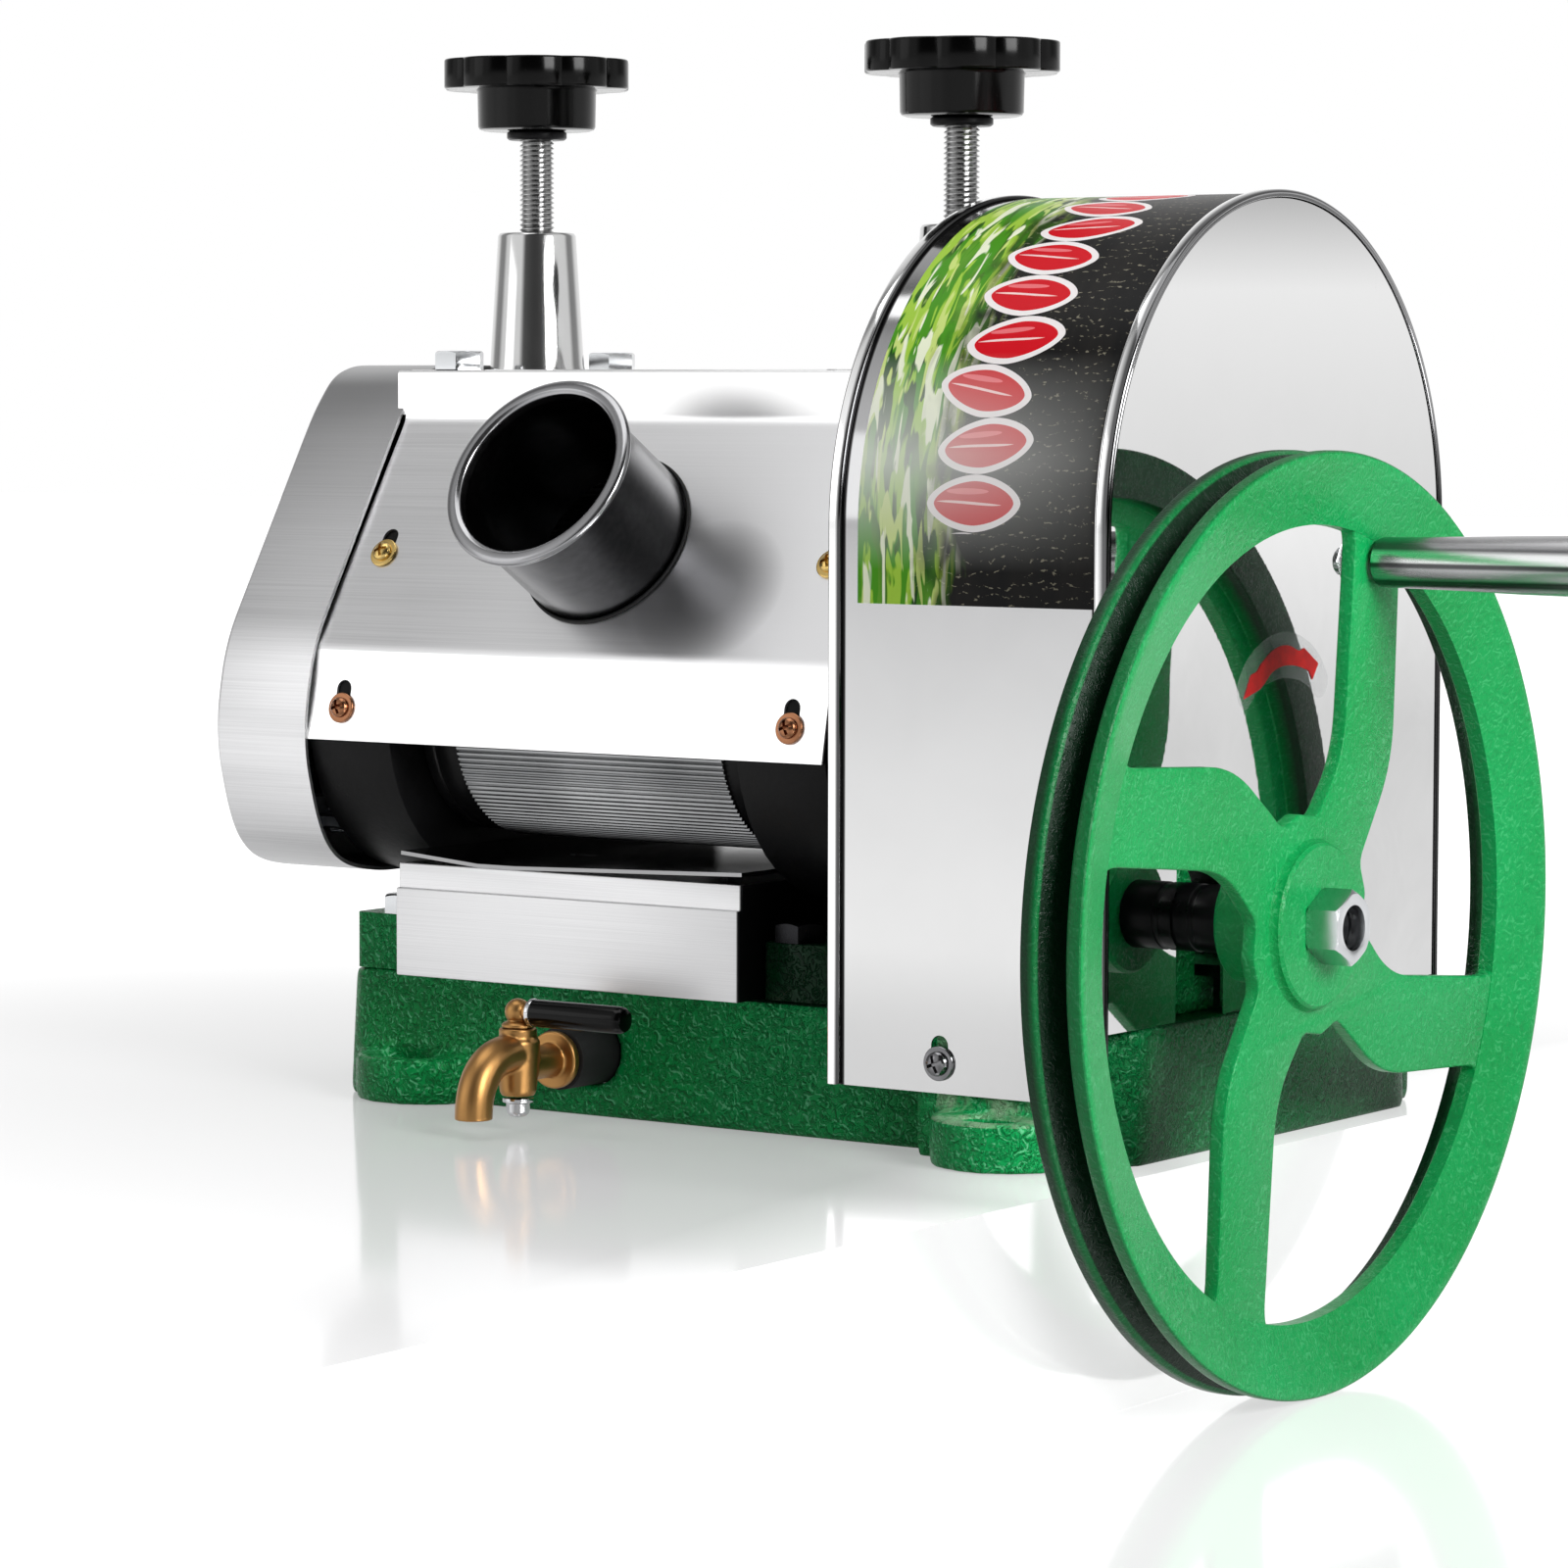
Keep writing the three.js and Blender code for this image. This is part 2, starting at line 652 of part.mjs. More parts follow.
// Fluted rollers with plain end discs, each on its own shaft.
const fluted = [];
for (let i = 0; i < fluteCount; i++) {
  const step = (2 * Math.PI) / fluteCount;
  for (const [r, share] of [[rollerRadius, 0], [rollerRadius - fluteDepth, 0.5]]) {
    const angle = step * (i + share);
    fluted.push([r * Math.cos(angle), r * Math.sin(angle)]);
  }
}
function roller(rightReach, seatReach) {
  const half = fluteLength / 2;
  const steps = [
    [0, gearLeftX - 2 - rollerMidX],
    [gearSeatRadius, gearLeftX - 2 - rollerMidX],
    [gearSeatRadius, gearRightX + 1 - rollerMidX],
    [shaftRadius, gearRightX + 1 - rollerMidX],
    [shaftRadius, -half - endDiscLength],
    [endDiscRadius, -half - endDiscLength],
    [endDiscRadius, half + endDiscLength],
    [shaftRadius, half + endDiscLength],
    [shaftRadius, rightReach - rollerMidX],
  ];
  if (seatReach) {
    steps.push([gearSeatRadius, rightReach - rollerMidX], [gearSeatRadius, seatReach - rollerMidX]);
    steps.push([0, seatReach - rollerMidX]);
  } else {
    steps.push([0, rightReach - rollerMidX]);
  }
  return join(turnedX(steps, 28), slabX(fluted, -half, half));
}
const shoulderX = driveGearX - 1;
const topRoller = roller(shoulderX, driveGearX + driveGearWidth + 3);
place("roller_top", topRoller, brushedSteel, rollerMidX, 0, topRollerZ);
place("roller_front", roller(outerRightX + 2), brushedSteel, rollerMidX, -lowRollerY, lowRollerZ);
place("roller_rear", roller(outerRightX + 2), brushedSteel, rollerMidX, lowRollerY, lowRollerZ);

// Roller gears on the left, in mesh with each other.
const topPhase = Math.PI / 2;
const toFront = Math.atan2(lowRollerZ - topRollerZ, -lowRollerY);
const toRear = Math.atan2(lowRollerZ - topRollerZ, lowRollerY);
function spur(teeth, phase, width, bore) {
  return slabX(gearOutline(teeth, phase), 0, width, [circle(bore, 20)]);
}
const topGear = spur(rollerTeeth, topPhase, gearWidth, gearSeatRadius + gap);
place("roller_gear_top", topGear, darkSteel, gearLeftX, 0, topRollerZ);
for (const [end, sign, direction] of [["front", -1, toFront], ["rear", 1, toRear]]) {
  const phase = meshPhase(rollerTeeth, topPhase, rollerTeeth, direction);
  const gear = spur(rollerTeeth, phase, gearWidth, gearSeatRadius + gap);
  place(`roller_gear_${end}`, gear, darkSteel, gearLeftX, sign * lowRollerY, lowRollerZ);
}

// Large gear on the top roller's shaft and the pinion below it.
const toPinion = Math.atan2(wheelAxisZ - topRollerZ, wheelAxisY);
const driveGear = spur(driveTeeth, topPhase, driveGearWidth, gearSeatRadius + gap);
place("drive_gear", driveGear, darkSteel, driveGearX, 0, topRollerZ);
const pinionPhase = meshPhase(driveTeeth, topPhase, pinionTeeth, toPinion);
const pinion = spur(pinionTeeth, pinionPhase, driveGearWidth, axleRadius + gap);
place("pinion", pinion, darkSteel, driveGearX, wheelAxisY, wheelAxisZ);

// Drive shaft, from inside the guard to the handwheel's nut, in two pillow blocks.
const hubSeatRadius = 10;
const threadRadius = 8;
const hubFaceX = webFaceX + 4.5;
const shaftStartX = guardLeftX + 4;
const axle = turnedX(
  [
    [0, shaftStartX],
    [axleRadius, shaftStartX],
    [axleRadius, rearBossX - gap],
    [hubSeatRadius, rearBossX - gap],
    [hubSeatRadius, hubFaceX - 1],
    [threadRadius, hubFaceX - 1],
    [threadRadius, hubFaceX + nutWidth - 4],
    [0, hubFaceX + nutWidth - 4],
  ],
  20,
);
place("drive_shaft", axle, blackPaint, 0, wheelAxisY, wheelAxisZ);
const pillowHeight = wheelAxisZ - baseHeight;
function pillow(width) {
  const outline = [
    [-pillowFoot, 0],
    [pillowFoot, 0],
    [pillowFoot, pillowRadius / 2],
    [pillowRadius, pillowRadius / 2 + 2],
    ...arc(pillowRadius, 0, pillowHeight, 0, 180, 12),
    [-pillowRadius, pillowRadius / 2 + 2],
    [-pillowFoot, pillowRadius / 2],
  ];
  return slabX(outline, 0, width, [circle(axleRadius + 0.4, 20, 0, pillowHeight)]);
}
const innerPillowX = guardLeftX + 6;
const outerPillowX = guardRightX - 12 - pillowOuterWidth;
place("pillow_block_inner", pillow(pillowInnerWidth), greenEnamel, innerPillowX, wheelAxisY, baseHeight);
place("pillow_block_outer", pillow(pillowOuterWidth), greenEnamel, outerPillowX, wheelAxisY, baseHeight);

// Handwheel: a rim with a belt groove, a flat web with four cranked spokes, and hub bosses.
const backX = wheelFaceX - wheelWidth;
const webBackX = webFaceX - webThickness;
const rim = turnedX(
  [
    [rimInner - 1, webFaceX],
    [rimInner - 1, webBackX],
    [rimInner + 7.5, webBackX],
    [rimInner + 7.5, backX],
    [wheelRadius, backX],
    [wheelRadius, backX + 5.5],
    [wheelRadius - grooveDepth, backX + wheelWidth / 2],
    [wheelRadius, wheelFaceX - 5.5],
    [wheelRadius, wheelFaceX],
    [wheelRadius - 3, wheelFaceX],
    [rimInner - 1, webFaceX],
  ],
  64,
);
const windowArc = arc(rimInner, 0, 0, 77.6, 153.8, 8).map(([y, z]) => [y, z, 0]);
windowArc[0][2] = 10;
windowArc[windowArc.length - 1][2] = 10;
const windowCorners = [
  ...windowArc,
  [-55, 60, 14],
  [-20.5, 36, 3],
  [-9, 40.5, 0],
  [4, 38.5, 3],
  [23.5, 60, 14],
];
const windowOutline = easedOutline(windowCorners);
const windows = [];
for (let quarter = 0; quarter < 4; quarter++) {
  const turn = (-Math.PI / 2) * quarter;
  const c = Math.cos(turn);
  const s = Math.sin(turn);
  windows.push(windowOutline.map(([y, z]) => [y * c - z * s, y * s + z * c]));
}
let wheel = join(
  rim,
  slabX(circle(rimInner + 2, 64), webBackX, webFaceX, windows),
  turnedX(rod(rearBossRadius, rearBossX, webFaceX - 1), 20),
  turnedX(
    [
      [0, webFaceX - 1],
      [hubRadius, webFaceX - 1],
      [hubRadius, hubFaceX - 1],
      [hubRadius - 1, hubFaceX],
      [0, hubFaceX],
    ],
    28,
  ),
);
wheel = cut(
  wheel,
  turnedX(rod(hubSeatRadius + gap, rearBossX - 1, hubFaceX + 1), 20),
  solid(
    lathe(rod(5 + gap, webBackX - 1, webFaceX + 1), 16)
      .rotateZ(-Math.PI / 2)
      .rotateX(Math.PI / 2)
      .translate(0, handleY, handleZ),
  ),
);
place("handwheel", wheel, greenEnamel, 0, wheelAxisY, wheelAxisZ);
const nutRadius = nutAcross / Math.sqrt(3);
const nut = slabX(circle(nutRadius, 6, 0, 0, Math.PI / 6), 0, nutWidth, [circle(threadRadius + gap, 16)]);
place("wheel_nut", nut, zincSteel, hubFaceX, wheelAxisY, wheelAxisZ);

// Handle: a pin through the spoke with a nut behind it and a head at its end, and a grip that turns on it.
const gripX = webFaceX + 1.5;
const pinEnd = gripX + handleLength + gap;
const pin = join(
  turnedX(rod(5, webBackX - 10, pinEnd + 0.5), 12),
  slabX(circle(7.2, 6), webBackX - 7, webBackX),
  turnedX(rod(6, webFaceX, gripX - gap), 16),
  turnedX([[0, pinEnd], [7.5, pinEnd], [7.5, pinEnd + 2], [5, pinEnd + 4], [0, pinEnd + 4.6]], 16),
);
const handleAxisY = wheelAxisY + handleY;
const handleAxisZ = wheelAxisZ + handleZ;
place("handle_pin", pin, zincSteel, 0, handleAxisY, handleAxisZ);
const grip = turnedX(
  [
    [5.4, 0],
    [handleRadius - 0.6, 0],
    [handleRadius, 1.5],
    [handleRadius + 0.6, 0.3 * handleLength],
    [handleRadius + 1.8, 0.73 * handleLength],
    [handleRadius + 1.6, 0.91 * handleLength],
    [handleRadius - 1.2, handleLength],
    [5.4, handleLength],
    [5.4, 0],
  ],
  20,
);
place("handle_grip", grip, stainless, gripX, handleAxisY, handleAxisZ);

// Juice tray between the rails, and the folded chute above it.
const trayX0 = innerLeftX + 1;
const trayX1 = innerRightX - 1;
let tray = cut(
  box(trayX0, trayX1, trayFrontY, trayRearY, 0, trayHeight),
  box(
    trayX0 + traySheet,
    trayX1 - traySheet,
    trayFrontY + traySheet + 2,
    trayRearY - traySheet,
    traySheet,
    trayHeight + 1,
  ),
  box(trayX0 - 1, trayX1 + 1, trayFrontY - 1, trayFrontY + 2, trayHeight - trayLip, trayHeight + 1),
  solid(lathe(rod(6, -1, traySheet + 1), 14).rotateX(Math.PI / 2).translate(tapX, drainY, 0)),
);
place("juice_tray", tray, stainless, 0, 0, baseHeight);
const chuteLine = [
  [trayX0 + 0.5, 3.2],
  [rollerMidX - 44, 0],
  [rollerMidX - 26, 0],
  [trayX1 - 0.5, 3.2],
];
const chuteOutline = [...chuteLine, ...offsetLine(chuteLine, traySheet).reverse()];
let chute = slabY(chuteOutline, trayFrontY + 2.5, trayRearY - 4);
for (const y of [-60, 20]) {
  chute = cut(chute, slabZ(slotOutline(14, 7, rollerMidX - 35, y), -2, 6));
}
place("juice_chute", chute, stainless, 0, 0, baseHeight + trayHeight);

// Feed cover, rear cover and the screws that hold the feed cover.
const coverX0 = outerLeftX - coverSideLap;
const coverX1 = outerRightX;
const coverOutline = [...coverLine, ...coverInner.slice().reverse()];
const faceY = faceYAt(feedZ);
function onFace(geometry) {
  const turned = geometry.clone().rotateX(-faceTilt);
  return solid(turned.translate(rollerMidX, faceY, feedZ));
}
const returnX0 = innerLeftX + 1;
const returnX1 = innerRightX - 1;
let feedCover = join(
  slabX(coverOutline.slice().reverse(), coverX0, coverX1),
  box(returnX0, returnX1, highCreaseY + coverSheet / 2, -gap, topZ - coverSheet, topZ),
);
feedCover = cut(feedCover, onFace(lathe(rod(feedRadius + gap, -10, 10), 36)));
for (const screw of coverScrews) {
  const slotHole = slabY(slotOutline(12.6, 6.4, 0, 0).map(([u, v]) => [v, u + 3.2]), -3, 3);
  feedCover = cut(feedCover, atScrew(slotHole, screw));
}
place("feed_cover", feedCover, brushedSteel);
for (const screw of coverScrews) {
  const body = join(
    turnedY([[0, 0.1], [6, 0.1], [6, -0.9], [0, -0.9]].reverse(), 16),
    turnedY([[0, -0.5], [4, -0.5], [3.9, -2.2], [2.6, -3.4], [0, -3.7]].reverse(), 12),
    turnedY(rod(2.4, -0.5, 12), 8),
  );
  const group = new THREE.Group();
  group.position.set(screw.x, screw.y, screw.z);
  group.rotation.x = -screw.tilt;
  juicer.add(group);
  place(screw.name, body, screwBrass, 0, -gap, 0, group);
}
let rearCover = join(
  slabX(mirrored(coverOutline.slice().reverse()), coverX0, coverX1),
  box(returnX0, returnX1, gap, -highCreaseY - coverSheet / 2, topZ - coverSheet, topZ),
);
const outletZ0 = lowCreaseZ + 6;
const outletZ1 = highCreaseZ - 34;
rearCover = cut(rearCover, box(innerLeftX + 14, innerRightX - 14, 40, -coverFrontY + 5, outletZ0, outletZ1));
place("rear_cover", rearCover, brushedSteel);

// Feed tube with a rolled mouth, square to the slanted face, and the seal ring round its foot.
const tube = turnedY(
  [
    [feedRadius - feedWall, 6],
    [feedRadius, 6],
    [feedRadius, -feedLength + 1.5 * feedBead],
    ...arc(feedBead, feedRadius + feedBead - 0.3, -feedLength + feedBead, 90, -210, 5),
    [feedRadius - feedWall, -feedLength + 1.5 * feedBead],
    [feedRadius - feedWall, 6],
  ].reverse(),
  36,
);
const faceGroup = new THREE.Group();
faceGroup.position.set(rollerMidX, faceY, feedZ);
faceGroup.rotation.x = -faceTilt;
juicer.add(faceGroup);
place("feed_tube", tube, darkSteel, 0, 0, 0, faceGroup);
const seal = turnedY(ring(feedRadius + gap, sealRadius, -sealThickness - gap, -gap), 32);
place("tube_seal", seal, blackRubber, 0, 0, 0, faceGroup);

// Left gear casing: a sheet shell, open towards the housing.
const casingFront = [
  [-78, casingBottomZ],
  [-99, casingBottomZ + 3.5],
  [-110.5, casingBottomZ + 11.5],
  [-117.5, casingBottomZ + 25],
  ...offsetLine(coverLine, -(coverSheet + 1.6)).slice(0, 3),
  [-58.6, 276],
  [-51, 284.5],
  [-41, 288.2],
  [-33.5, casingTopZ],
];
const casingOuter = [...casingFront, ...mirrored(casingFront)];
const casingLoop = [...casingOuter, casingOuter[0], casingOuter[1]];
const casingInner = offsetLine(casingLoop, -casingSheet).slice(1, -1);
const casing = cut(
  slabX(casingOuter.slice().reverse(), casingEndX, outerLeftX - gap),
  slabX(casingInner.slice().reverse(), casingEndX + casingSheet, outerLeftX + 1),
);
place("casing_left", casing, brushedSteel);

// Arched gear guard: the wrapped sheet with raised edge beads, its end plate and its inner plate.
function archOutline(radius, bottomZ) {
  return [[-radius, bottomZ], ...arc(radius, 0, topRollerZ, 180, 0, 28), [radius, bottomZ]];
}
function archBand(outer, inner, x0, x1) {
  const outline = [...archOutline(outer, guardBottomZ), ...archOutline(inner, guardBottomZ).reverse()];
  return slabX(outline.reverse(), x0, x1);
}
const guardInside = guardRadius - guardSheet;
let wrap = join(
  archBand(guardRadius, guardInside, guardLeftX, guardRightX),
  archBand(guardRadius + beadHeight, guardRadius - 0.4, guardLeftX, guardLeftX + beadWidth),
  archBand(guardRadius + beadHeight, guardRadius - 0.4, guardRightX - beadWidth, guardRightX),
);
const guardSlot = slotOutline(14, 7.4, 0, 0).map(([u, v]) => [guardScrewX + v, guardScrewZ + 3.2 + u]);
wrap = cut(wrap, slabY(guardSlot, -guardRadius - 4, -guardRadius + 6));
place("guard_wrap", wrap, stainless);
const guardScrew = join(
  turnedY([[0, 0.1], [6.4, 0.1], [6.4, -1], [0, -1]].reverse(), 16),
  turnedY([[0, -0.5], [4.6, -0.5], [4.5, -2.4], [3, -3.8], [0, -4.1]].reverse(), 12),
  turnedY(rod(3, -0.5, 12), 8),
);
place("guard_screw", guardScrew, zincSteel, guardScrewX, -guardRadius - gap, guardScrewZ);
const plateRadius = guardInside - gap;
const plateX = guardRightX - 2;
const plateSlot = roundedRectangle(
  wheelAxisY + plateSlotShift - plateSlotWidth / 2,
  wheelAxisY + plateSlotShift + plateSlotWidth / 2,
  baseHeight - 8,
  plateSlotTop,
  6,
  3,
);
const endPlate = cut(
  slabX(archOutline(plateRadius, baseHeight).reverse(), plateX, plateX + guardSheet),
  slabX(plateSlot, plateX - 1, plateX + 3),
  slabX(circle(axleRadius + 1, 18, wheelAxisY, wheelAxisZ), plateX - 1, plateX + 3),
);
place("guard_end_plate", endPlate, stainless);
const innerPlateX = guardLeftX + 1.5;
const liftSlot = slotOutline(2 * (shaftRadius + 5), 2 * (shaftRadius + 4), 0, 0);
const innerPlate = cut(
  slabX(archOutline(plateRadius, baseHeight).reverse(), innerPlateX, innerPlateX + guardSheet),
  slabX(liftSlot.map(([u, v]) => [v, topRollerZ + 2 + u]), innerPlateX - 1, innerPlateX + 3),
);
place("guard_inner_plate", innerPlate, stainless);

// Juice outlet: an elbow from the tray through the base's front wall, and the brass tap on its end.
const inletEndY = tapY + 25;
let elbow = join(
  solid(lathe(rod(elbowRadius, tapInletZ - 6, baseHeight), 18).rotateX(Math.PI / 2).translate(0, drainY, 0)),
  solid(lathe(rod(spigotRadius, inletEndY, drainY + elbowRadius), 18).translate(0, 0, tapInletZ)),
);
elbow = cut(
  elbow,
  solid(lathe(rod(5, tapInletZ - 1, baseHeight + 1), 12).rotateX(Math.PI / 2).translate(0, drainY, 0)),
  solid(lathe(rod(5, inletEndY - 1, drainY), 12).translate(0, 0, tapInletZ)),
);
place("drain_elbow", elbow, blackRubber, tapX);
const spoutStart = new THREE.Vector3(0, -4, tapInletZ + 5);
const spoutCurve = new THREE.CubicBezierCurve3(
  spoutStart,
  new THREE.Vector3(0, -spoutReach * 0.62, tapInletZ + 6),
  new THREE.Vector3(0, -spoutReach, tapInletZ - 1),
  new THREE.Vector3(0, -spoutReach, 6.5),
);
const spoutShape = shapeOf(circle(spoutRadius, 12), [circle(spoutBore, 10)]);
const alongSpout = { steps: 8, extrudePath: spoutCurve, bevelEnabled: false };
const spout = solid(new THREE.ExtrudeGeometry(spoutShape, alongSpout));
let tap = join(
  turnedZ(
    [
      [0, 13],
      [6.4, 13],
      [7.2, 15],
      [8.6, 30],
      [8.6, 34],
      [7.3, 35.5],
      [7.3, tapBodyTopZ],
      [0, tapBodyTopZ],
    ],
    20,
  ),
  solid(lathe(rod(6.6, 0, 24), 16).translate(0, 0, tapInletZ)),
  solid(
    lathe(
      [
        [0, 20.5],
        [10.7, 20.5],
        [11.1, 21.5],
        [11.1, 23.5],
        [10.7, 25 - gap],
        [0, 25 - gap],
      ],
      20,
    ).translate(0, 0, tapInletZ),
  ),
  spout,
);
tap = cut(tap, turnedZ(rod(tapBoreRadius, 12, tapBodyTopZ + 1), 14));
place("tap_body", tap, brass, tapX, tapY);
const plug = join(
  turnedZ(rod(tapBoreRadius - 0.4, 13, ballZ - 2), 14),
  turnedZ(
    [
      [0, tapBodyTopZ + gap],
      [6.2, tapBodyTopZ + gap],
      [6.2, 40.6],
      [3.8, 41.4],
      [3.8, ballZ],
      [0, ballZ],
    ],
    16,
  ),
  solid(new THREE.SphereGeometry(ballRadius, 14, 8).rotateX(Math.PI / 2).translate(0, 0, ballZ)),
  solid(
    lathe(rod(3, 0, ballRadius + 1.6), 12)
      .rotateZ(-Math.PI / 2)
      .rotateX(Math.PI / 2)
      .translate(0, 0, ballZ),
  ),
);
place("tap_plug", plug, brass, tapX, tapY);
const leverStart = ballRadius + 1.6 + gap;
const leverEnd = leverStart + leverLength;
const leverProfile = [
  [0, leverStart],
  [leverRadius - 0.5, leverStart],
  [leverRadius, leverStart + 1.2],
  [leverRadius, leverEnd - 2],
  [leverRadius - 0.9, leverEnd],
  [0, leverEnd],
];
const lever = turnedX(leverProfile, 16);
place("tap_lever_grip", lever, blackPlastic, tapX, tapY, ballZ);
const retainer = turnedZ(
  [
    [0, 5],
    [3.2, 5],
    [4.5, 6.4],
    [4.5, 10.4],
    [6, 10.8],
    [6, 12.4],
    [2.4, 12.4],
    [2.4, 13 - gap],
    [0, 13 - gap],
  ],
  14,
);
place("tap_retaining_screw", retainer, zincSteel, tapX, tapY);

export default juicer;
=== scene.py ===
"""Looks of a hand-turned sugarcane juicer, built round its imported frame.

Lengths in this file are millimetres and become metres where a mesh is made. X runs along the rollers
to the handwheel, Y to the back, Z up from the underside of the base.
"""

import math

import bpy
from mathutils import Matrix, Vector


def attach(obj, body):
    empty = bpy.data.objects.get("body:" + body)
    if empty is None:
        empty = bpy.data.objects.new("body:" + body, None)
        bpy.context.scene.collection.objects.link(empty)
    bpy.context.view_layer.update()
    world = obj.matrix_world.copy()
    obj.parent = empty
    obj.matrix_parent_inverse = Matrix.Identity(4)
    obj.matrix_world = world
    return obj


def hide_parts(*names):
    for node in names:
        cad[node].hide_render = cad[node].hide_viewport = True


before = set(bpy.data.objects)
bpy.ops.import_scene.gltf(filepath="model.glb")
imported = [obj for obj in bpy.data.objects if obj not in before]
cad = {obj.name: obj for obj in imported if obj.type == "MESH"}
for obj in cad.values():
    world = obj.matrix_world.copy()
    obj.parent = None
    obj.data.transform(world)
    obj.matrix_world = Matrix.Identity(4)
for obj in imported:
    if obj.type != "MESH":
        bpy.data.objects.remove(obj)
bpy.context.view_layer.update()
MM = 0.001

# Places that several pieces and finishes share

WHEEL_Y = -66.006
WHEEL_Z = 88
RIM = 170
GROOVE_X = 230
GUARD_Z = 228
GUARD_RADIUS = 124
CAP_TOP = 287


# Modelling helpers


def deselect():
    if bpy.context.object and bpy.context.object.mode != "OBJECT":
        bpy.ops.object.mode_set(mode="OBJECT")
    bpy.ops.object.select_all(action="DESELECT")


def pick(piece):
    deselect()
    piece.select_set(True)
    bpy.context.view_layer.objects.active = piece
    return piece


def settle(piece):
    pick(piece)
    bpy.ops.object.transform_apply(location=True, rotation=True, scale=True)
    return piece


def cleaned(piece, nearest=0.004):
    """Doubles merged, then every face turned outwards."""
    pick(piece)
    bpy.ops.object.mode_set(mode="EDIT")
    bpy.ops.mesh.select_all(action="SELECT")
    bpy.ops.mesh.remove_doubles(threshold=nearest * MM)
    bpy.ops.mesh.normals_make_consistent(inside=False)
    bpy.ops.object.mode_set(mode="OBJECT")
    return piece


FACING = {
    "X": Matrix(((0, 0, 1, 0), (1, 0, 0, 0), (0, 1, 0, 0), (0, 0, 0, 1))),
    "Y": Matrix(((1, 0, 0, 0), (0, 0, -1, 0), (0, 1, 0, 0), (0, 0, 0, 1))),
    "Z": Matrix.Identity(4),
}


def stood(piece, axis="Z", place=(0, 0, 0), tilt=0.0):
    """Turns a piece made along Z to its axis, tips it back about X and moves it to its place."""
    piece.matrix_world = (
        Matrix.Translation(Vector(place) * MM) @ Matrix.Rotation(tilt, 4, "X") @ FACING[axis]
    )
    return settle(piece)


def smoothed(piece, angle=35):
    pick(piece)
    bpy.ops.object.shade_smooth_by_angle(angle=math.radians(angle))
    return piece


def modified(piece, kind, **settings):
    pick(piece)
    modifier = piece.modifiers.new(kind.lower(), kind)
    for key, value in settings.items():
        setattr(modifier, key, value)
    bpy.ops.object.modifier_apply(modifier=modifier.name)
    return piece


def eased(piece, width, steps=2, angle=30):
    """Rounds the sharp edges of a machined or pressed piece."""
    return modified(
        piece,
        "BEVEL",
        width=width * MM,
        segments=steps,
        limit_method="ANGLE",
        angle_limit=math.radians(angle),
        use_clamp_overlap=True,
    )


def carved(piece, *cutters, operation="DIFFERENCE"):
    for cutter in cutters:
        modified(piece, "BOOLEAN", operation=operation, object=cutter, solver="EXACT")
        bpy.data.objects.remove(cutter)
    return piece


def joined(name, first, *others):
    deselect()
    for piece in (first, *others):
        piece.select_set(True)
    bpy.context.view_layer.objects.active = first
    bpy.ops.object.join()
    first.name = name
    return first


def cast(piece, voxel, passes=4, share=0.5):
    """One skin over joined shells, with the soft corners of a sand casting."""
    modified(piece, "REMESH", mode="VOXEL", voxel_size=voxel * MM, adaptivity=0.0)
    modified(piece, "SMOOTH", factor=share, iterations=passes)
    pick(piece)
    bpy.ops.object.shade_smooth()
    return piece


def drawn(name, points):
    """A chain of edges, drawn point by point from a single corner."""
    deselect()
    bpy.ops.mesh.primitive_plane_add(size=MM, location=(0, 0, 0))
    line = bpy.context.object
    line.name = name
    bpy.ops.object.mode_set(mode="EDIT")
    bpy.ops.mesh.select_mode(type="VERT")
    bpy.ops.mesh.select_all(action="SELECT")
    bpy.ops.mesh.merge(type="CENTER")
    bpy.ops.transform.translate(value=Vector(points[0]) * MM)
    for here, there in zip(points, points[1:]):
        step = (Vector(there) - Vector(here)) * MM
        bpy.ops.mesh.extrude_region_move(TRANSFORM_OT_translate={"value": step})
    return line


def turned(name, profile, axis="Z", place=(0, 0, 0), sides=96, tilt=0.0, edge=0.0):
    """A lathe piece from (radius, height) points, drawn once and spun right round."""
    piece = drawn(name, [(radius, 0, height) for radius, height in profile])
    bpy.ops.mesh.select_all(action="SELECT")
    bpy.ops.mesh.spin(steps=sides, angle=2 * math.pi, center=(0, 0, 0), axis=(0, 0, 1))
    cleaned(piece)
    if edge:
        eased(piece, edge)
    stood(piece, axis, place, tilt)
    return smoothed(piece)


def plate(name, loops, start, end, axis="Z", place=(0, 0, 0), tilt=0.0, edge=0.3, steps=2):
    """A flat piece with holes: closed outlines given thickness and rounded edges."""
    outline = bpy.data.curves.new(name, "CURVE")
    outline.dimensions = "2D"
    outline.fill_mode = "BOTH"
    for loop in loops:
        spline = outline.splines.new("POLY")
        spline.points.add(len(loop) - 1)
        for point, (u, v) in zip(spline.points, loop):
            point.co = (u * MM, v * MM, 0, 1)
        spline.use_cyclic_u = True
    outline.extrude = max((end - start) / 2 - edge, 0.0) * MM
    outline.bevel_depth = edge * MM
    outline.offset = -edge * MM
    outline.bevel_resolution = steps - 1
    piece = bpy.data.objects.new(name, outline)
    bpy.context.scene.collection.objects.link(piece)
    pick(piece)
    bpy.ops.object.convert(target="MESH")
    piece = bpy.context.object
    piece.location = (0, 0, (start + end) / 2 * MM)
    settle(piece)
    cleaned(piece)
    stood(piece, axis, place, tilt)
    return smoothed(piece)


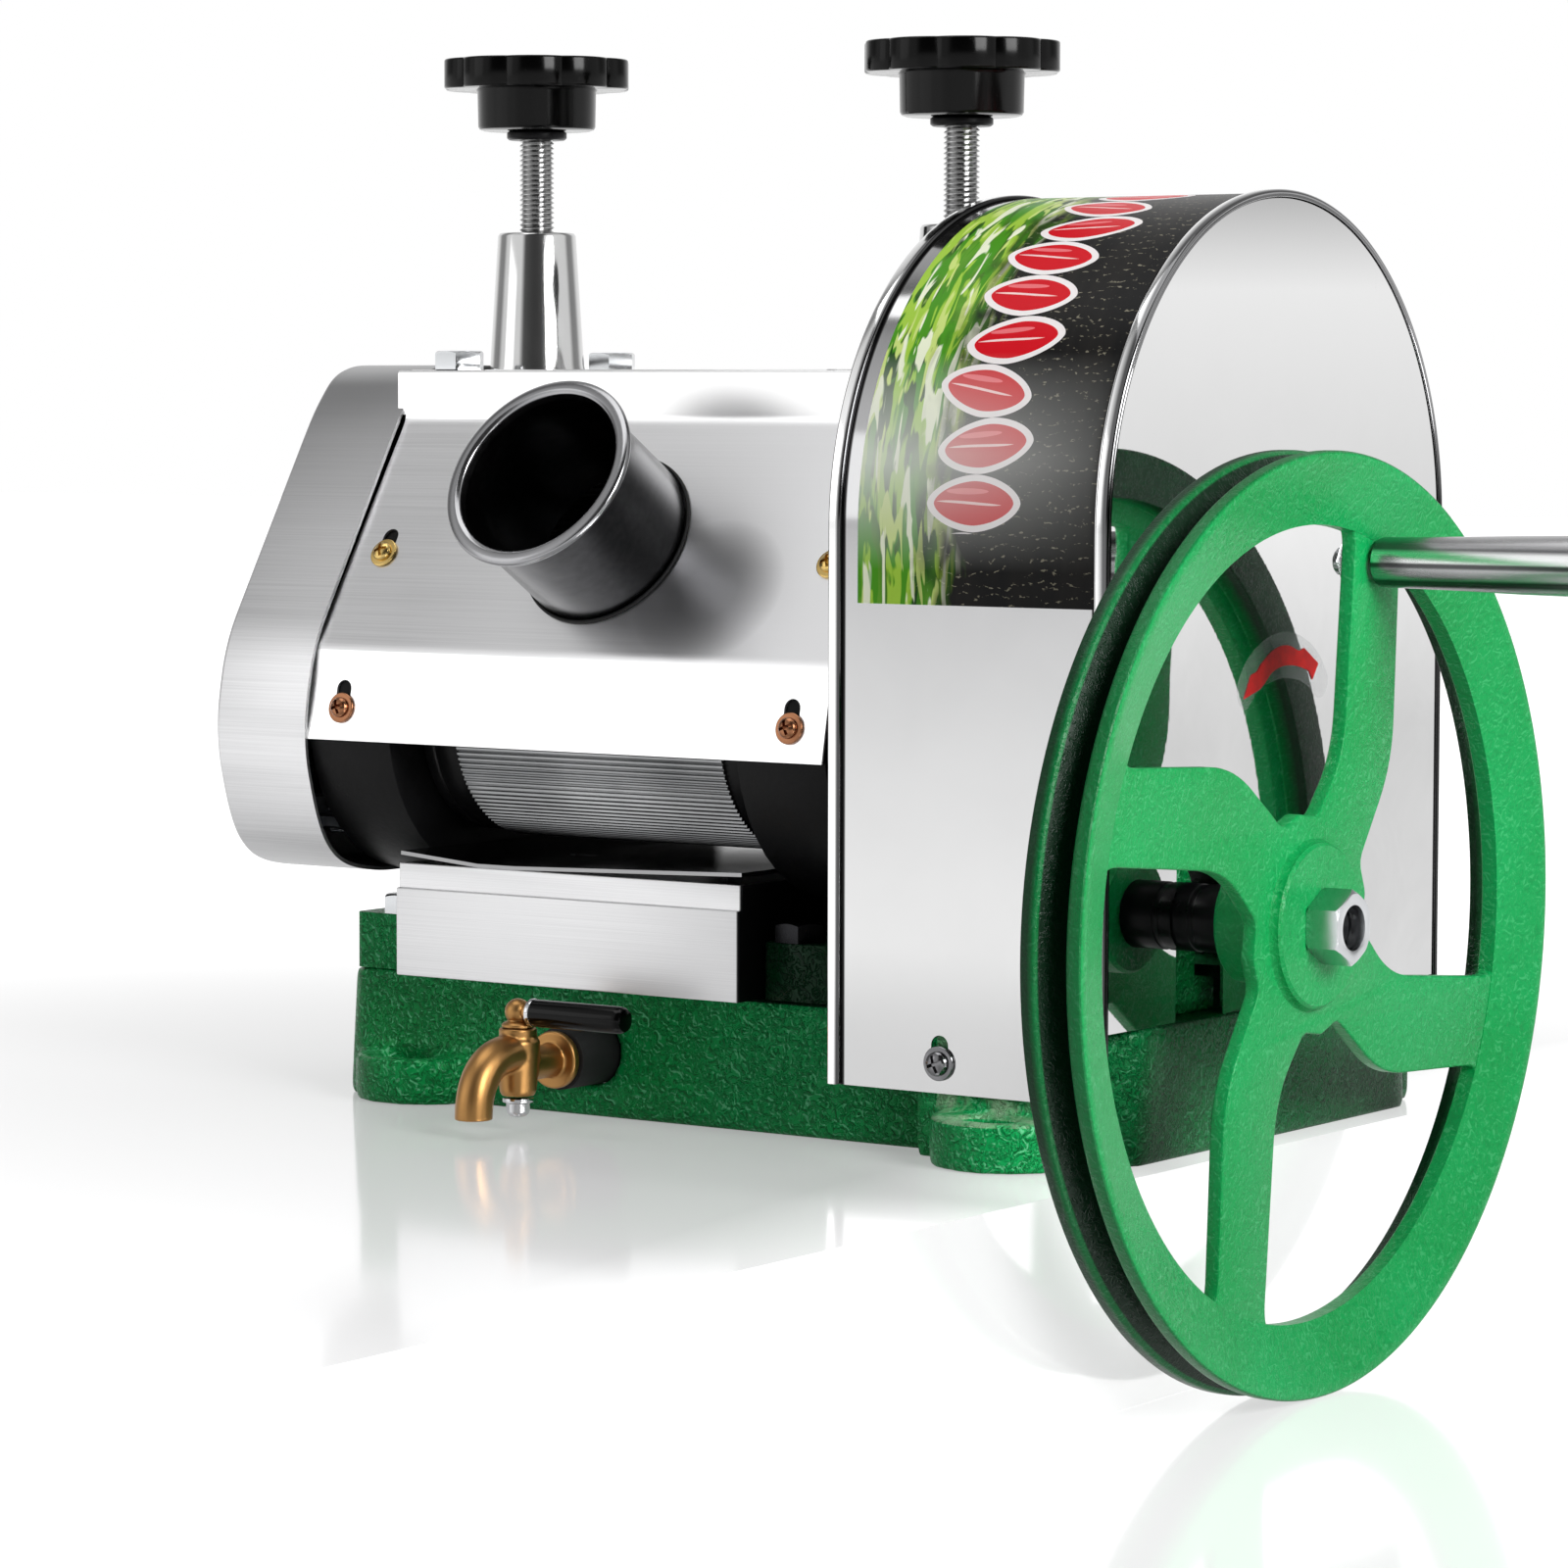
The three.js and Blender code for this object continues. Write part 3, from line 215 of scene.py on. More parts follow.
def block(name, low, high, edge=0.0, steps=2):
    """A rectangular piece between two corners."""
    deselect()
    middle = [(a + b) / 2 * MM for a, b in zip(low, high)]
    bpy.ops.mesh.primitive_cube_add(size=1, location=middle)
    piece = bpy.context.object
    piece.name = name
    piece.scale = [(b - a) * MM for a, b in zip(low, high)]
    settle(piece)
    if edge:
        eased(piece, edge, steps)
    return smoothed(piece)


def copy_of(node):
    """A merged copy of a solid of the frame, with its flat faces made whole again."""
    piece = bpy.data.objects.new(node + "_finished", cad[node].data.copy())
    bpy.context.scene.collection.objects.link(piece)
    piece.data.materials.clear()
    pick(piece)
    bpy.ops.object.mode_set(mode="EDIT")
    bpy.ops.mesh.select_all(action="SELECT")
    bpy.ops.mesh.remove_doubles(threshold=0.01 * MM)
    bpy.ops.mesh.dissolve_limited(angle_limit=math.radians(0.4))
    bpy.ops.mesh.normals_make_consistent(inside=False)
    bpy.ops.object.mode_set(mode="OBJECT")
    return piece


def twin(piece, name, shift):
    """Another of a repeated piece, with a mesh of its own."""
    pick(piece)
    bpy.ops.object.duplicate()
    other = bpy.context.object
    other.name = name
    bpy.ops.transform.translate(value=Vector(shift) * MM)
    return settle(other)


def fitted(piece, finish, body, slot, *nodes):
    """Gives a finished piece its surface, the body that it moves with and the solids that it stands for."""
    piece.data.materials.clear()
    piece.data.materials.append(finish)
    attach(piece, body)
    if nodes:
        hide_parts(*nodes)
    return piece


def circle(radius, sides=64, cu=0.0, cv=0.0):
    turns = [2 * math.pi * i / sides for i in range(sides)]
    return [(cu + radius * math.cos(a), cv + radius * math.sin(a)) for a in turns]


def arc(radius, cu, cv, start, end, steps):
    turns = [math.radians(start + (end - start) * i / steps) for i in range(steps + 1)]
    return [(cu + radius * math.cos(a), cv + radius * math.sin(a)) for a in turns]


def rounded(u0, u1, v0, v1, radius, steps=6):
    return (
        arc(radius, u1 - radius, v0 + radius, -90, 0, steps)
        + arc(radius, u1 - radius, v1 - radius, 0, 90, steps)
        + arc(radius, u0 + radius, v1 - radius, 90, 180, steps)
        + arc(radius, u0 + radius, v0 + radius, 180, 270, steps)
    )


def softened(corners, steps=6, closed=True):
    """An outline whose (u, v, radius) corners are eased by short curves."""
    points = []
    for i, (u, v, radius) in enumerate(corners):
        ends = not closed and i in (0, len(corners) - 1)
        if not radius or ends:
            points.append((u, v))
            continue
        here = Vector((u, v))
        before = Vector(corners[i - 1][:2]) - here
        after = Vector(corners[(i + 1) % len(corners)][:2]) - here
        start = here + before.normalized() * min(radius, before.length / 2)
        end = here + after.normalized() * min(radius, after.length / 2)
        for k in range(steps + 1):
            t = k / steps
            point = start * (1 - t) ** 2 + here * 2 * t * (1 - t) + end * t**2
            if not points or (point - Vector(points[-1])).length > 0.05:
                points.append(tuple(point))
    if closed and (Vector(points[0]) - Vector(points[-1])).length < 0.05:
        points.pop()
    return points


def beside(points, distance):
    """A line moved sideways, positive to its left, with mitred corners."""
    moved = []
    for i, here in enumerate(points):
        before = points[max(i - 1, 0)]
        after = points[min(i + 1, len(points) - 1)]
        into = Vector((here[0] - before[0], here[1] - before[1]))
        out = Vector((after[0] - here[0], after[1] - here[1]))
        if into.length < 1e-9:
            into = out.copy()
        if out.length < 1e-9:
            out = into.copy()
        into.normalize()
        out.normalize()
        left = Vector((-into.y, into.x)), Vector((-out.y, out.x))
        mitre = (left[0] + left[1]).normalized()
        reach = distance / max(mitre.dot(left[0]), 0.3)
        moved.append((here[0] + mitre.x * reach, here[1] + mitre.y * reach))
    return moved


# Finishes


def shade(red, green, blue):
    """A colour as a screen shows it, 0 to 255, in scene values."""
    parts = [c / 255 for c in (red, green, blue)]
    return tuple(c / 12.92 if c <= 0.04045 else ((c + 0.055) / 1.055) ** 2.4 for c in parts) + (1.0,)


class Value:
    """A quantity on a finish's node tree. Arithmetic on it adds the Math nodes."""

    def __init__(self, finish, socket):
        self.finish = finish
        self.socket = socket

    def sum(self, operation, *values):
        made = self.finish.node("ShaderNodeMath", {"operation": operation}, dict(enumerate(values)))
        return Value(self.finish, made.outputs[0])

    def __add__(self, other):
        return self.sum("ADD", self, other)

    def __radd__(self, other):
        return self.sum("ADD", other, self)

    def __sub__(self, other):
        return self.sum("SUBTRACT", self, other)

    def __rsub__(self, other):
        return self.sum("SUBTRACT", other, self)

    def __mul__(self, other):
        return self.sum("MULTIPLY", self, other)

    def __rmul__(self, other):
        return self.sum("MULTIPLY", other, self)

    def __truediv__(self, other):
        return self.sum("DIVIDE", self, other)

    def __rtruediv__(self, other):
        return self.sum("DIVIDE", other, self)

    def __pow__(self, other):
        return self.sum("POWER", self, other)

    def __gt__(self, other):
        return self.sum("GREATER_THAN", self, other)

    def __lt__(self, other):
        return self.sum("LESS_THAN", self, other)

    def __abs__(self):
        return self.sum("ABSOLUTE", self)

    def floor(self):
        return self.sum("FLOOR", self)

    def fraction(self):
        return self.sum("FRACT", self)

    def sine(self):
        return self.sum("SINE", self)

    def least(self, other):
        return self.sum("MINIMUM", self, other)

    def most(self, other):
        return self.sum("MAXIMUM", self, other)

    def angle_to(self, other):
        return self.sum("ARCTAN2", self, other)

    def rise(self, low, high):
        """0 below low, 1 above high and a straight slope between."""
        settings = {"clamp": True}
        sockets = {"Value": self, "From Min": low, "From Max": high, "To Min": 0.0, "To Max": 1.0}
        made = self.finish.node("ShaderNodeMapRange", settings, sockets)
        return Value(self.finish, made.outputs["Result"])


class Finish:
    """A surface finish, or the light all round, whose nodes are added by one method."""

    def __init__(self, name, owner=None):
        self.material = owner or bpy.data.materials.new(name)
        self.material.use_nodes = True
        self.tree = self.material.node_tree
        self.tree.nodes.clear()

    def node(self, kind, settings=None, sockets=None):
        made = self.tree.nodes.new(kind)
        for key, value in (settings or {}).items():
            setattr(made, key, value)
        for key, value in (sockets or {}).items():
            if isinstance(value, Value):
                self.tree.links.new(value.socket, made.inputs[key])
            else:
                made.inputs[key].default_value = value
        return made

    def out(self, made, name=0):
        return Value(self, made.outputs[name])

    def coordinates(self, stretch=(1.0, 1.0, 1.0), shift=(0.0, 0.0, 0.0)):
        place = self.out(self.node("ShaderNodeTexCoord"), "Object")
        sockets = {"Vector": place, "Scale": stretch, "Location": shift}
        return self.out(self.node("ShaderNodeMapping", None, sockets), "Vector")

    def along(self):
        """X, Y and Z of the surface in millimetres."""
        parts = self.node("ShaderNodeSeparateXYZ", None, {"Vector": self.coordinates((1000.0,) * 3)})
        return [self.out(parts, k) for k in range(3)]

    def noise(self, scale, detail=2.0, roughness=0.5, distortion=0.0, vector=None):
        sockets = {"Vector": vector or self.coordinates(), "Scale": scale, "Detail": detail}
        sockets.update({"Roughness": roughness, "Distortion": distortion})
        return self.out(self.node("ShaderNodeTexNoise", None, sockets), "Fac")

    def mixed(self, share, first, second):
        sockets = {"Factor": share, 6: first, 7: second}
        return self.out(self.node("ShaderNodeMix", {"data_type": "RGBA"}, sockets), 2)

    def faded(self, colour, place, start, end, other):
        """The colour passes into another one between two places along a line."""
        return self.mixed(place.rise(start, end), colour, other)

    def bumped(self, height, distance, strength=1.0):
        sockets = {"Height": height, "Distance": distance * MM, "Strength": strength}
        return self.out(self.node("ShaderNodeBump", None, sockets), "Normal")

    def finished(self, skin, output="ShaderNodeOutputMaterial"):
        self.tree.links.new(skin.outputs[0], self.node(output).inputs["Surface"])
        return self.material

    def surfaced(self, **sockets):
        names = {key.replace("_", " ").title().replace("Ior", "IOR"): v for key, v in sockets.items()}
        return self.finished(self.node("ShaderNodeBsdfPrincipled", None, names))


def enamel(name, wrinkle=1.0, gloss=0.3, machined_ears=False, shaded=None):
    """Green stoving enamel over a casting, finely wrinkled, with painted highlights on the ridges and
    painted shade in the hollows of the wrinkles.
    """
    f = Finish(name)
    broad = f.noise(9.0, 3.0)
    tone = f.mixed(broad.rise(0.35, 0.65), shade(7, 144, 69), shade(13, 158, 83))
    worms = f.noise(300.0, 2.0, 0.5, 1.4)
    beside_worms = f.noise(300.0, 2.0, 0.5, 1.4, f.coordinates(shift=(0.0004, -0.0003, 0.0005)))
    painted_relief_light = worms - beside_worms
    ridges = 1.0 - abs(worms - 0.5).rise(0.0, 0.06)
    # Painted shade in the hollows of the wrinkles, then painted highlights on their ridges.
    colour = f.mixed((0.0 - painted_relief_light).rise(0.03, 0.14) * 0.6 * wrinkle, tone, shade(0, 62, 28))
    colour = f.mixed(painted_relief_light.rise(0.06, 0.16) * 0.62 * wrinkle, colour, shade(120, 214, 160))
    roughness = 0.26 + broad * 0.12
    metallic = 0.0
    x, y, z = f.along()
    if machined_ears:
        on_ear = (x > 111.0) * (abs(y) > 121.0) * (z > 16.6)
        wear = f.noise(90.0, 3.0, 0.6).rise(0.42, 0.6)
        bare = on_ear * wear
        colour = f.mixed(bare * 0.6, colour, shade(170, 196, 164))
        roughness = roughness + bare * 0.2
        metallic = bare * 0.3
    if shaded:
        # Painted shade: the green deepens towards near black where the shading function says.
        colour = f.mixed(shaded(x, y, z), colour, shade(0, 15, 6))
    return f.surfaced(
        base_color=colour,
        roughness=roughness,
        metallic=metallic,
        specular_ior_level=gloss,
        normal=f.bumped(ridges + f.noise(60.0, 2.0), 0.9, 0.75 * wrinkle),
    )


def wheel_shade(x, y, z):
    """Painted shade on the wheel: nearly black in the belt groove, deeper green round the rim and behind
    it, and a little darker low down.
    """
    reach = ((y - WHEEL_Y) ** 2.0 + (z - WHEEL_Z) ** 2.0) ** 0.5
    in_groove = abs(x - GROOVE_X).rise(6.6, 5.6) * (reach > RIM - 15.0) * reach.rise(RIM - 0.1, RIM - 2.0)
    behind = x.rise(227.5, 221.0) * (reach > 60.0) * 0.9
    outside = reach.rise(RIM - 1.2, RIM - 0.4) * 0.5
    low_down = z.rise(150.0, 0.0) * 0.14
    return (in_groove * 0.96).most(behind).most(outside).most(low_down)


def base_shade(x, y, z):
    """Deeper tone where the base and its rail stand in the shade of the tray, the guard and the wheel."""
    rail = (x > -5.0) * (x < 68.0) * (z > 49.0) * 0.93
    return rail.most((x > 172.0) * 0.55)


def brushed(name, tone, grain=(12.0, 1400.0, 1400.0), base=0.26, depth=0.03, painted_fade=None):
    """Sheet or bar steel with fine lines along one axis; the last argument, if given, is (axis, start, end,
    tone there) of a painted reflection and shade along that axis.
    """
    f = Finish(name)
    lines = f.noise(1.0, 2.0, 0.5, 0.0, f.coordinates(grain))
    patches = f.noise(14.0, 3.0, 0.55)
    dark = shade(*(max(c - 12, 0) for c in tone))
    colour = f.mixed(lines.rise(0.3, 0.7), dark, shade(*tone))
    if painted_fade:
        axis, start, end, other = painted_fade
        colour = f.faded(colour, f.along()[axis], start, end, shade(*other))
    return f.surfaced(
        base_color=colour,
        metallic=1.0,
        roughness=base + lines * 0.06 + patches * 0.08,
        normal=f.bumped(lines, depth, 0.16),
    )


def polished(name, tone, base=0.07, smears=0.08, painted_fade=None):
    """Bright or plated metal with faint smears and hairlines; the last argument, if given, is (axis, start,
    end, tone there) of a painted reflection along that axis.
    """
    f = Finish(name)
    smear = f.noise(24.0, 4.0, 0.6, 0.4)
    hair = f.noise(1.0, 2.0, 0.5, 0.0, f.coordinates((260.0, 900.0, 60.0)))
    dark = shade(*(max(c - 8, 0) for c in tone))
    colour = f.mixed(smear.rise(0.3, 0.7), dark, shade(*tone))
    if painted_fade:
        axis, start, end, other = painted_fade
        colour = f.faded(colour, f.along()[axis], start, end, shade(*other))
    return f.surfaced(
        base_color=colour,
        metallic=1.0,
        roughness=base + smear.rise(0.35, 0.8) * smears + hair.rise(0.6, 0.8) * 0.03,
        normal=f.bumped(hair, 0.02, 0.1),
    )


def cover_sheet(name):
    """Brushed cover steel with painted light: a painted reflection lighter to the right, painted highlights
    on the upright strips, a painted shadow of the feed tube and a painted dark wedge of shade beside the
    casing.
    """
    f = Finish(name)
    x, y, z = f.along()
    lines = f.noise(1.0, 2.0, 0.5, 0.0, f.coordinates((10.0, 1500.0, 1500.0)))
    colour = f.mixed(lines.rise(0.3, 0.7), shade(200, 200, 201), shade(212, 212, 213))
    # Painted reflection: lighter to the right.
    colour = f.faded(colour, x, -150.0, 40.0, shade(244, 244, 245))
    # Painted shadow of the feed tube, a dark pool below and right of it.
    painted_tube_shadow = ((x + 8.0) / 34.0) ** 2.0 + ((z - 203.0) / 27.0) ** 2.0
    colour = f.mixed(painted_tube_shadow.rise(1.0, 0.15) * 0.6, colour, shade(84, 84, 86))
    # Painted highlights on the upright strips above and below the slanted face.
    colour = f.mixed((z > 267.4).most(z < 176.6), colour, shade(250, 250, 250))
    # Painted shade: a dark wedge beside the casing, where the sheet goes on under it.
    painted_gap_shade = (x < z.rise(178.0, 262.0) * 2.6 - 188.4) * (z > 177.0) * (z < 269.0)
    return f.surfaced(
        base_color=f.mixed(painted_gap_shade, colour, shade(6, 6, 6)),
        metallic=1.0,
        roughness=0.27 + lines * 0.06 + f.noise(14.0, 3.0, 0.55) * 0.08,
        normal=f.bumped(lines, 0.03, 0.16),
    )


def guard_sheet(name):
    """Polished guard sheet between two rolled beads, with painted highlight and painted shade lines at each
    bead, and a painted reflection that makes the sheet darker towards the top.
    """
    f = Finish(name)
    x, y, z = f.along()
    smear = f.noise(24.0, 4.0, 0.6, 0.4)
    # Painted reflection: the sheet darker towards the top.
    sheet = f.faded(shade(202, 202, 202), z, 100.0, 230.0, shade(180, 180, 181))
    colour = shade(20, 20, 20)
    # Painted highlights and painted shade lines at the beads.
    for start, end, tone in (
        (64.2, 64.9, shade(250, 250, 250)),
        (67.3, 68.4, shade(80, 80, 81)),
        (69.3, 70.0, shade(6, 6, 6)),
        (70.7, 71.4, sheet),
        (176.5, 176.9, shade(10, 10, 10)),
        (177.4, 178.0, shade(252, 252, 252)),
        (179.6, 182.0, shade(96, 96, 97)),
        (183.1, 183.8, f.faded(shade(14, 14, 14), z, 236.0, 280.0, shade(140, 140, 141))),
    ):
        colour = f.faded(colour, x, start, end, tone)
    return f.surfaced(
        base_color=f.mixed(smear * 0.08, colour, shade(150, 150, 151)),
        metallic=1.0,
        roughness=0.09 + smear.rise(0.35, 0.8) * 0.05,
        normal=f.bumped(smear, 0.03, 0.06),
    )


def tube_steel_finish(name, place, tilt):
    """Dark feed tube with a painted highlight on its rolled lip; tilt is the lean of its axis above the
    level.
    """
    f = Finish(name)
    x, y, z = f.along()
    out = (y - place[1]) * -math.cos(tilt) + (z - place[2]) * math.sin(tilt)
    rings = f.noise(1.0, 2.0, 0.5, 0.0, f.coordinates((90.0, 400.0, 400.0)))
    colour = f.mixed(rings, shade(70, 70, 72), shade(92, 92, 94))
    # Painted highlight: the rolled lip brighter than the tube.
    return f.surfaced(
        base_color=f.faded(colour, out, 48.0, 49.0, shade(150, 150, 152)),
        metallic=1.0,
        roughness=0.16 + rings * 0.08,
        normal=f.bumped(rings, 0.03, 0.1),
    )


def handle_steel(name):
    """Turned bright steel with painted reflections: bands of tone that run along the grip."""
    f = Finish(name)
    x, y, z = f.along()
    height = (z - 217.0) / 10.4
    fine = f.noise(1.0, 2.0, 0.5, 0.0, f.coordinates((8.0, 1800.0, 1800.0)))
    colour = shade(190, 190, 192)
    # Painted reflections: light and dark bands across the grip by height.
    for start, end, grey in (
        (-0.86, -0.76, 60),
        (-0.62, -0.52, 168),
        (-0.2, -0.12, 70),
        (-0.02, 0.06, 252),
        (0.36, 0.5, 104),
        (0.66, 0.86, 170),
    ):
        colour = f.faded(colour, height, start, end, shade(grey, grey, grey + 1))
    return f.surfaced(
        base_color=f.mixed(fine * 0.2, colour, shade(140, 140, 142)),
        metallic=1.0,
        roughness=0.22 + fine * 0.08,
        normal=f.bumped(fine, 0.02, 0.1),
    )


def painted_black(name, tone=(15, 15, 16), dull=0.32, grit=0.5):
    f = Finish(name)
    fine = f.noise(380.0, 3.0, 0.6)
    broad = f.noise(40.0, 2.0)
    lift = shade(*(c + 8 for c in tone))
    return f.surfaced(
        base_color=f.mixed(broad.rise(0.35, 0.7), shade(*tone), lift),
        roughness=dull + broad * 0.15 + fine * 0.08,
        specular_ior_level=0.12,
        normal=f.bumped(fine, 0.5, 0.25 * grit),
    )


def moulded(name):
    """Glossy black moulded plastic, with a faint flow ripple."""
    f = Finish(name)
    ripple = f.noise(70.0, 2.0, 0.4)
    dust = f.noise(900.0, 2.0, 0.6).rise(0.66, 0.78)
    return f.surfaced(
        base_color=f.mixed(dust * 0.3, shade(2, 2, 2), shade(18, 18, 19)),
        roughness=0.12 + ripple * 0.06 + dust * 0.2,
        specular_ior_level=0.15,
        normal=f.bumped(ripple, 0.25, 0.15),
    )


def rubbery(name):
    f = Finish(name)
    grain = f.noise(600.0, 3.0, 0.6)
    return f.surfaced(
        base_color=f.mixed(grain, shade(10, 10, 10), shade(26, 26, 27)),
        roughness=0.5 + grain * 0.2,
        specular_ior_level=0.25,
        normal=f.bumped(grain, 0.2, 0.3),
    )


def roller_steel(name):
    """Fluted steel of two close greys, with fine lines round the roller."""
    f = Finish(name)
    wash = f.noise(20.0, 3.0, 0.55)
    hair = f.noise(1.0, 3.0, 0.6, 0.0, f.coordinates((1400.0, 30.0, 30.0)))
    return f.surfaced(
        base_color=f.mixed(wash.rise(0.3, 0.7), shade(128, 129, 130), shade(160, 161, 162)),
        metallic=1.0,
        roughness=0.24 + hair * 0.14,
        normal=f.bumped(hair, 0.04, 0.2),
    )


def guard_print(name):
    """Printed film: grass strokes on the left, dashed dark stalks on the right and a row of red leaves."""
    f = Finish(name)
    x, y, z = f.along()
    above = (z - GUARD_Z).most(0.0)
    below = (z - GUARD_Z).least(0.0)
    front = (y < 0.0) * 2.0 - 1.0
    s = above.angle_to(0.0 - y) * GUARD_RADIUS + below * front
    flat = f.out(f.node("ShaderNodeCombineXYZ", None, {"X": x, "Y": s, "Z": 0.0}))

    def strokes(turn, across, along, low, high):
        sockets = {"Vector": flat, "Rotation": (0.0, 0.0, turn), "Scale": (across, along, 1.0)}
        grid = f.out(f.node("ShaderNodeMapping", None, sockets))
        return f.noise(1.0, 2.0, 0.5, 0.6, grid).rise(low, high)

    mist = strokes(0.7, 0.05, 0.02, 0.4, 0.6)
    grass = f.mixed(mist, shade(26, 74, 18), shade(96, 158, 44))
    for turn, level, green in (
        (0.75, 0.5, (74, 150, 30)),
        (-0.8, 0.53, (164, 206, 70)),
        (1.15, 0.57, (206, 226, 130)),
        (-0.1, 0.57, (240, 246, 218)),
    ):
        grass = f.mixed(strokes(turn, 0.2, 0.032, level, level + 0.03), grass, shade(*green))
    row = ((s + strokes(0.0, 0.1, 0.1, 0.3, 0.7) * 5.0) / 4.6).fraction()
    flecks = f.node("ShaderNodeMapping", None, {"Vector": flat, "Scale": (0.42, 0.9, 1.0)})
    grain = f.noise(1.0, 2.0, 0.6, 0.0, f.out(flecks))
    dashes = (abs(row - 0.5) < 0.1) * grain.rise(0.55, 0.62)
    dark = f.mixed(strokes(0.0, 0.09, 0.016, 0.4, 0.7), shade(5, 5, 6), shade(24, 22, 20))
    dark = f.mixed(dashes * 0.5, dark, shade(176, 170, 148))
    edge = x + strokes(0.4, 0.12, 0.05, 0.3, 0.7) * 14.0
    picture = f.mixed(edge.rise(108.0, 126.0), grass, dark)

    pitch = 21.0
    number = (s / pitch).floor()
    lean = (number * 2.4).sine()
    across = x - 126.0 - lean * 3.0 - s * 0.035
    along = ((s / pitch).fraction() - 0.5) * pitch - across * lean * 0.14
    size = abs(across / 17.0) ** 1.7 + abs(along / 8.0) ** 1.7
    border = abs(across / 20.0) ** 1.7 + abs(along / 10.4) ** 1.7
    shine = abs((across + 3.0) / 9.0) ** 2.0 + abs((along - 4.3) / 1.1) ** 2.0
    rib = abs(along + (across / 9.0).sine() * 0.6) * 2.0 + abs((across + 2.0) / 14.0) ** 4.0
    shown = (s > -0.5) * (s < 335.0)
    picture = f.mixed((border < 1.0) * shown, picture, shade(246, 240, 240))
    picture = f.mixed((size < 1.0) * shown, picture, shade(212, 12, 30))
    picture = f.mixed((rib < 1.0) * shown, picture, shade(250, 214, 212))
    picture = f.mixed((shine < 1.0) * shown * 0.6, picture, shade(252, 150, 156))
    # Painted highlight: a band of glare across the film.
    glare = s.rise(-14.0, 24.0) * s.rise(68.0, 28.0)
    picture = f.mixed(glare * (0.72 - (x - 76.0) * 0.006), picture, shade(244, 245, 242))
    return f.surfaced(
        base_color=picture,
        roughness=0.3 + grain * 0.08,
        specular_ior_level=0.1,
        normal=f.bumped(f.noise(40.0, 2.0), 0.2, 0.1),
    )


def arrow_ink(name):
    f = Finish(name)
    patch = f.noise(120.0, 3.0, 0.6)
    return f.surfaced(
        base_color=f.mixed(patch.rise(0.3, 0.7), shade(190, 8, 10), shade(232, 24, 18)),
        roughness=0.32 + patch * 0.12,
        specular_ior_level=0.2,
        normal=f.bumped(patch, 0.08, 0.1),
    )


def clear_film(name):
    f = Finish(name)
    haze = f.noise(90.0, 3.0, 0.6, 0.5)
    return f.surfaced(
        base_color=f.mixed(haze, shade(196, 196, 198), shade(226, 226, 228)),
        roughness=0.12 + haze * 0.12,
        alpha=0.03 + haze * 0.07,
        normal=f.bumped(haze, 0.1, 0.1),
    )


green_casting = enamel("green_enamel_wrinkled", 1.0, 0.12, True, base_shade)
green_wheel = enamel("green_enamel_wheel", 0.3, 0.17, False, wheel_shade)
cover_steel = cover_sheet("cover_brushed_steel")
# Painted reflection: the casing darker towards the top.
casing_steel = brushed(
    "casing_brushed_steel",
    (214, 214, 215),
    (10.0, 1500.0, 1500.0),
    0.3,
    0.015,
    (2, 215.0, 285.0, (158, 158, 159)),
)
guard_steel = guard_sheet("guard_polished_steel")
cap_steel = polished("cap_polished_steel", (212, 212, 212), 0.09, 0.05)
# Painted reflection: the end plate lighter towards the top.
plate_steel = polished(
    "plate_polished_steel", (204, 204, 204), 0.015, 0.015, (2, 150.0, 330.0, (248, 248, 248))
)
# Painted shade: the tray's right end nearly black.
tray_steel = brushed(
    "tray_satin_steel", (228, 228, 229), (10.0, 3000.0, 3000.0), 0.4, 0.0, (0, 17.6, 18.4, (26, 26, 27))
)
chute_steel = polished("chute_dark_steel", (150, 150, 151), 0.12, 0.08)
chrome = polished("bright_chrome", (206, 207, 209), 0.05, 0.06)
zinc = polished("zinc_plate", (198, 200, 202), 0.14, 0.1)
# Painted shade: a dark copy of the zinc for the bolts on the shaded right rail.
bolt_in_painted_shade = polished("zinc_bolt_in_painted_shade", (44, 44, 46), 0.2, 0.12)
guard_bolt = polished("guard_screw_steel", (124, 124, 126), 0.12, 0.1)
thread_steel = polished("press_screw_steel", (170, 170, 170), 0.16, 0.1)
brass_cast = polished("brass_casting", (172, 130, 80), 0.34, 0.1)
yellow_screw = polished("yellow_plated_screw", (206, 176, 110), 0.18, 0.12)
copper_screw = polished("copper_brown_screw", (150, 104, 76), 0.2, 0.14)
bronze = brushed("machined_bronze", (176, 132, 84), (1200.0, 40.0, 40.0), 0.3)
gear_steel = brushed("oiled_gear_steel", (92, 94, 98), (1200.0, 60.0, 60.0), 0.28)
block_steel = brushed("machined_block_steel", (120, 121, 124), (40.0, 900.0, 40.0), 0.3)
grip_steel = handle_steel("bright_grip_steel")
fluted_steel = roller_steel("fluted_roller_steel")
black_casting = painted_black("black_casting_paint", (13, 13, 14), 0.34, 1.0)
black_shaft = painted_black("black_shaft_paint", (11, 11, 13), 0.2, 0.3)
black_disc = painted_black("black_roller_disc", (18, 18, 19), 0.24, 0.3)
knob_plastic = moulded("black_knob_plastic")
seal_rubber = rubbery("black_seal_rubber")
art_print = guard_print("guard_printed_film")
red_ink = arrow_ink("red_arrow_ink")
film = clear_film("clear_sticker_film")


# Base, rails and roller housings

base = cast(copy_of("base_casting"), 2.1, 5, 0.5)
fitted(base, green_casting, "frame", "green_enamel", "base_casting")

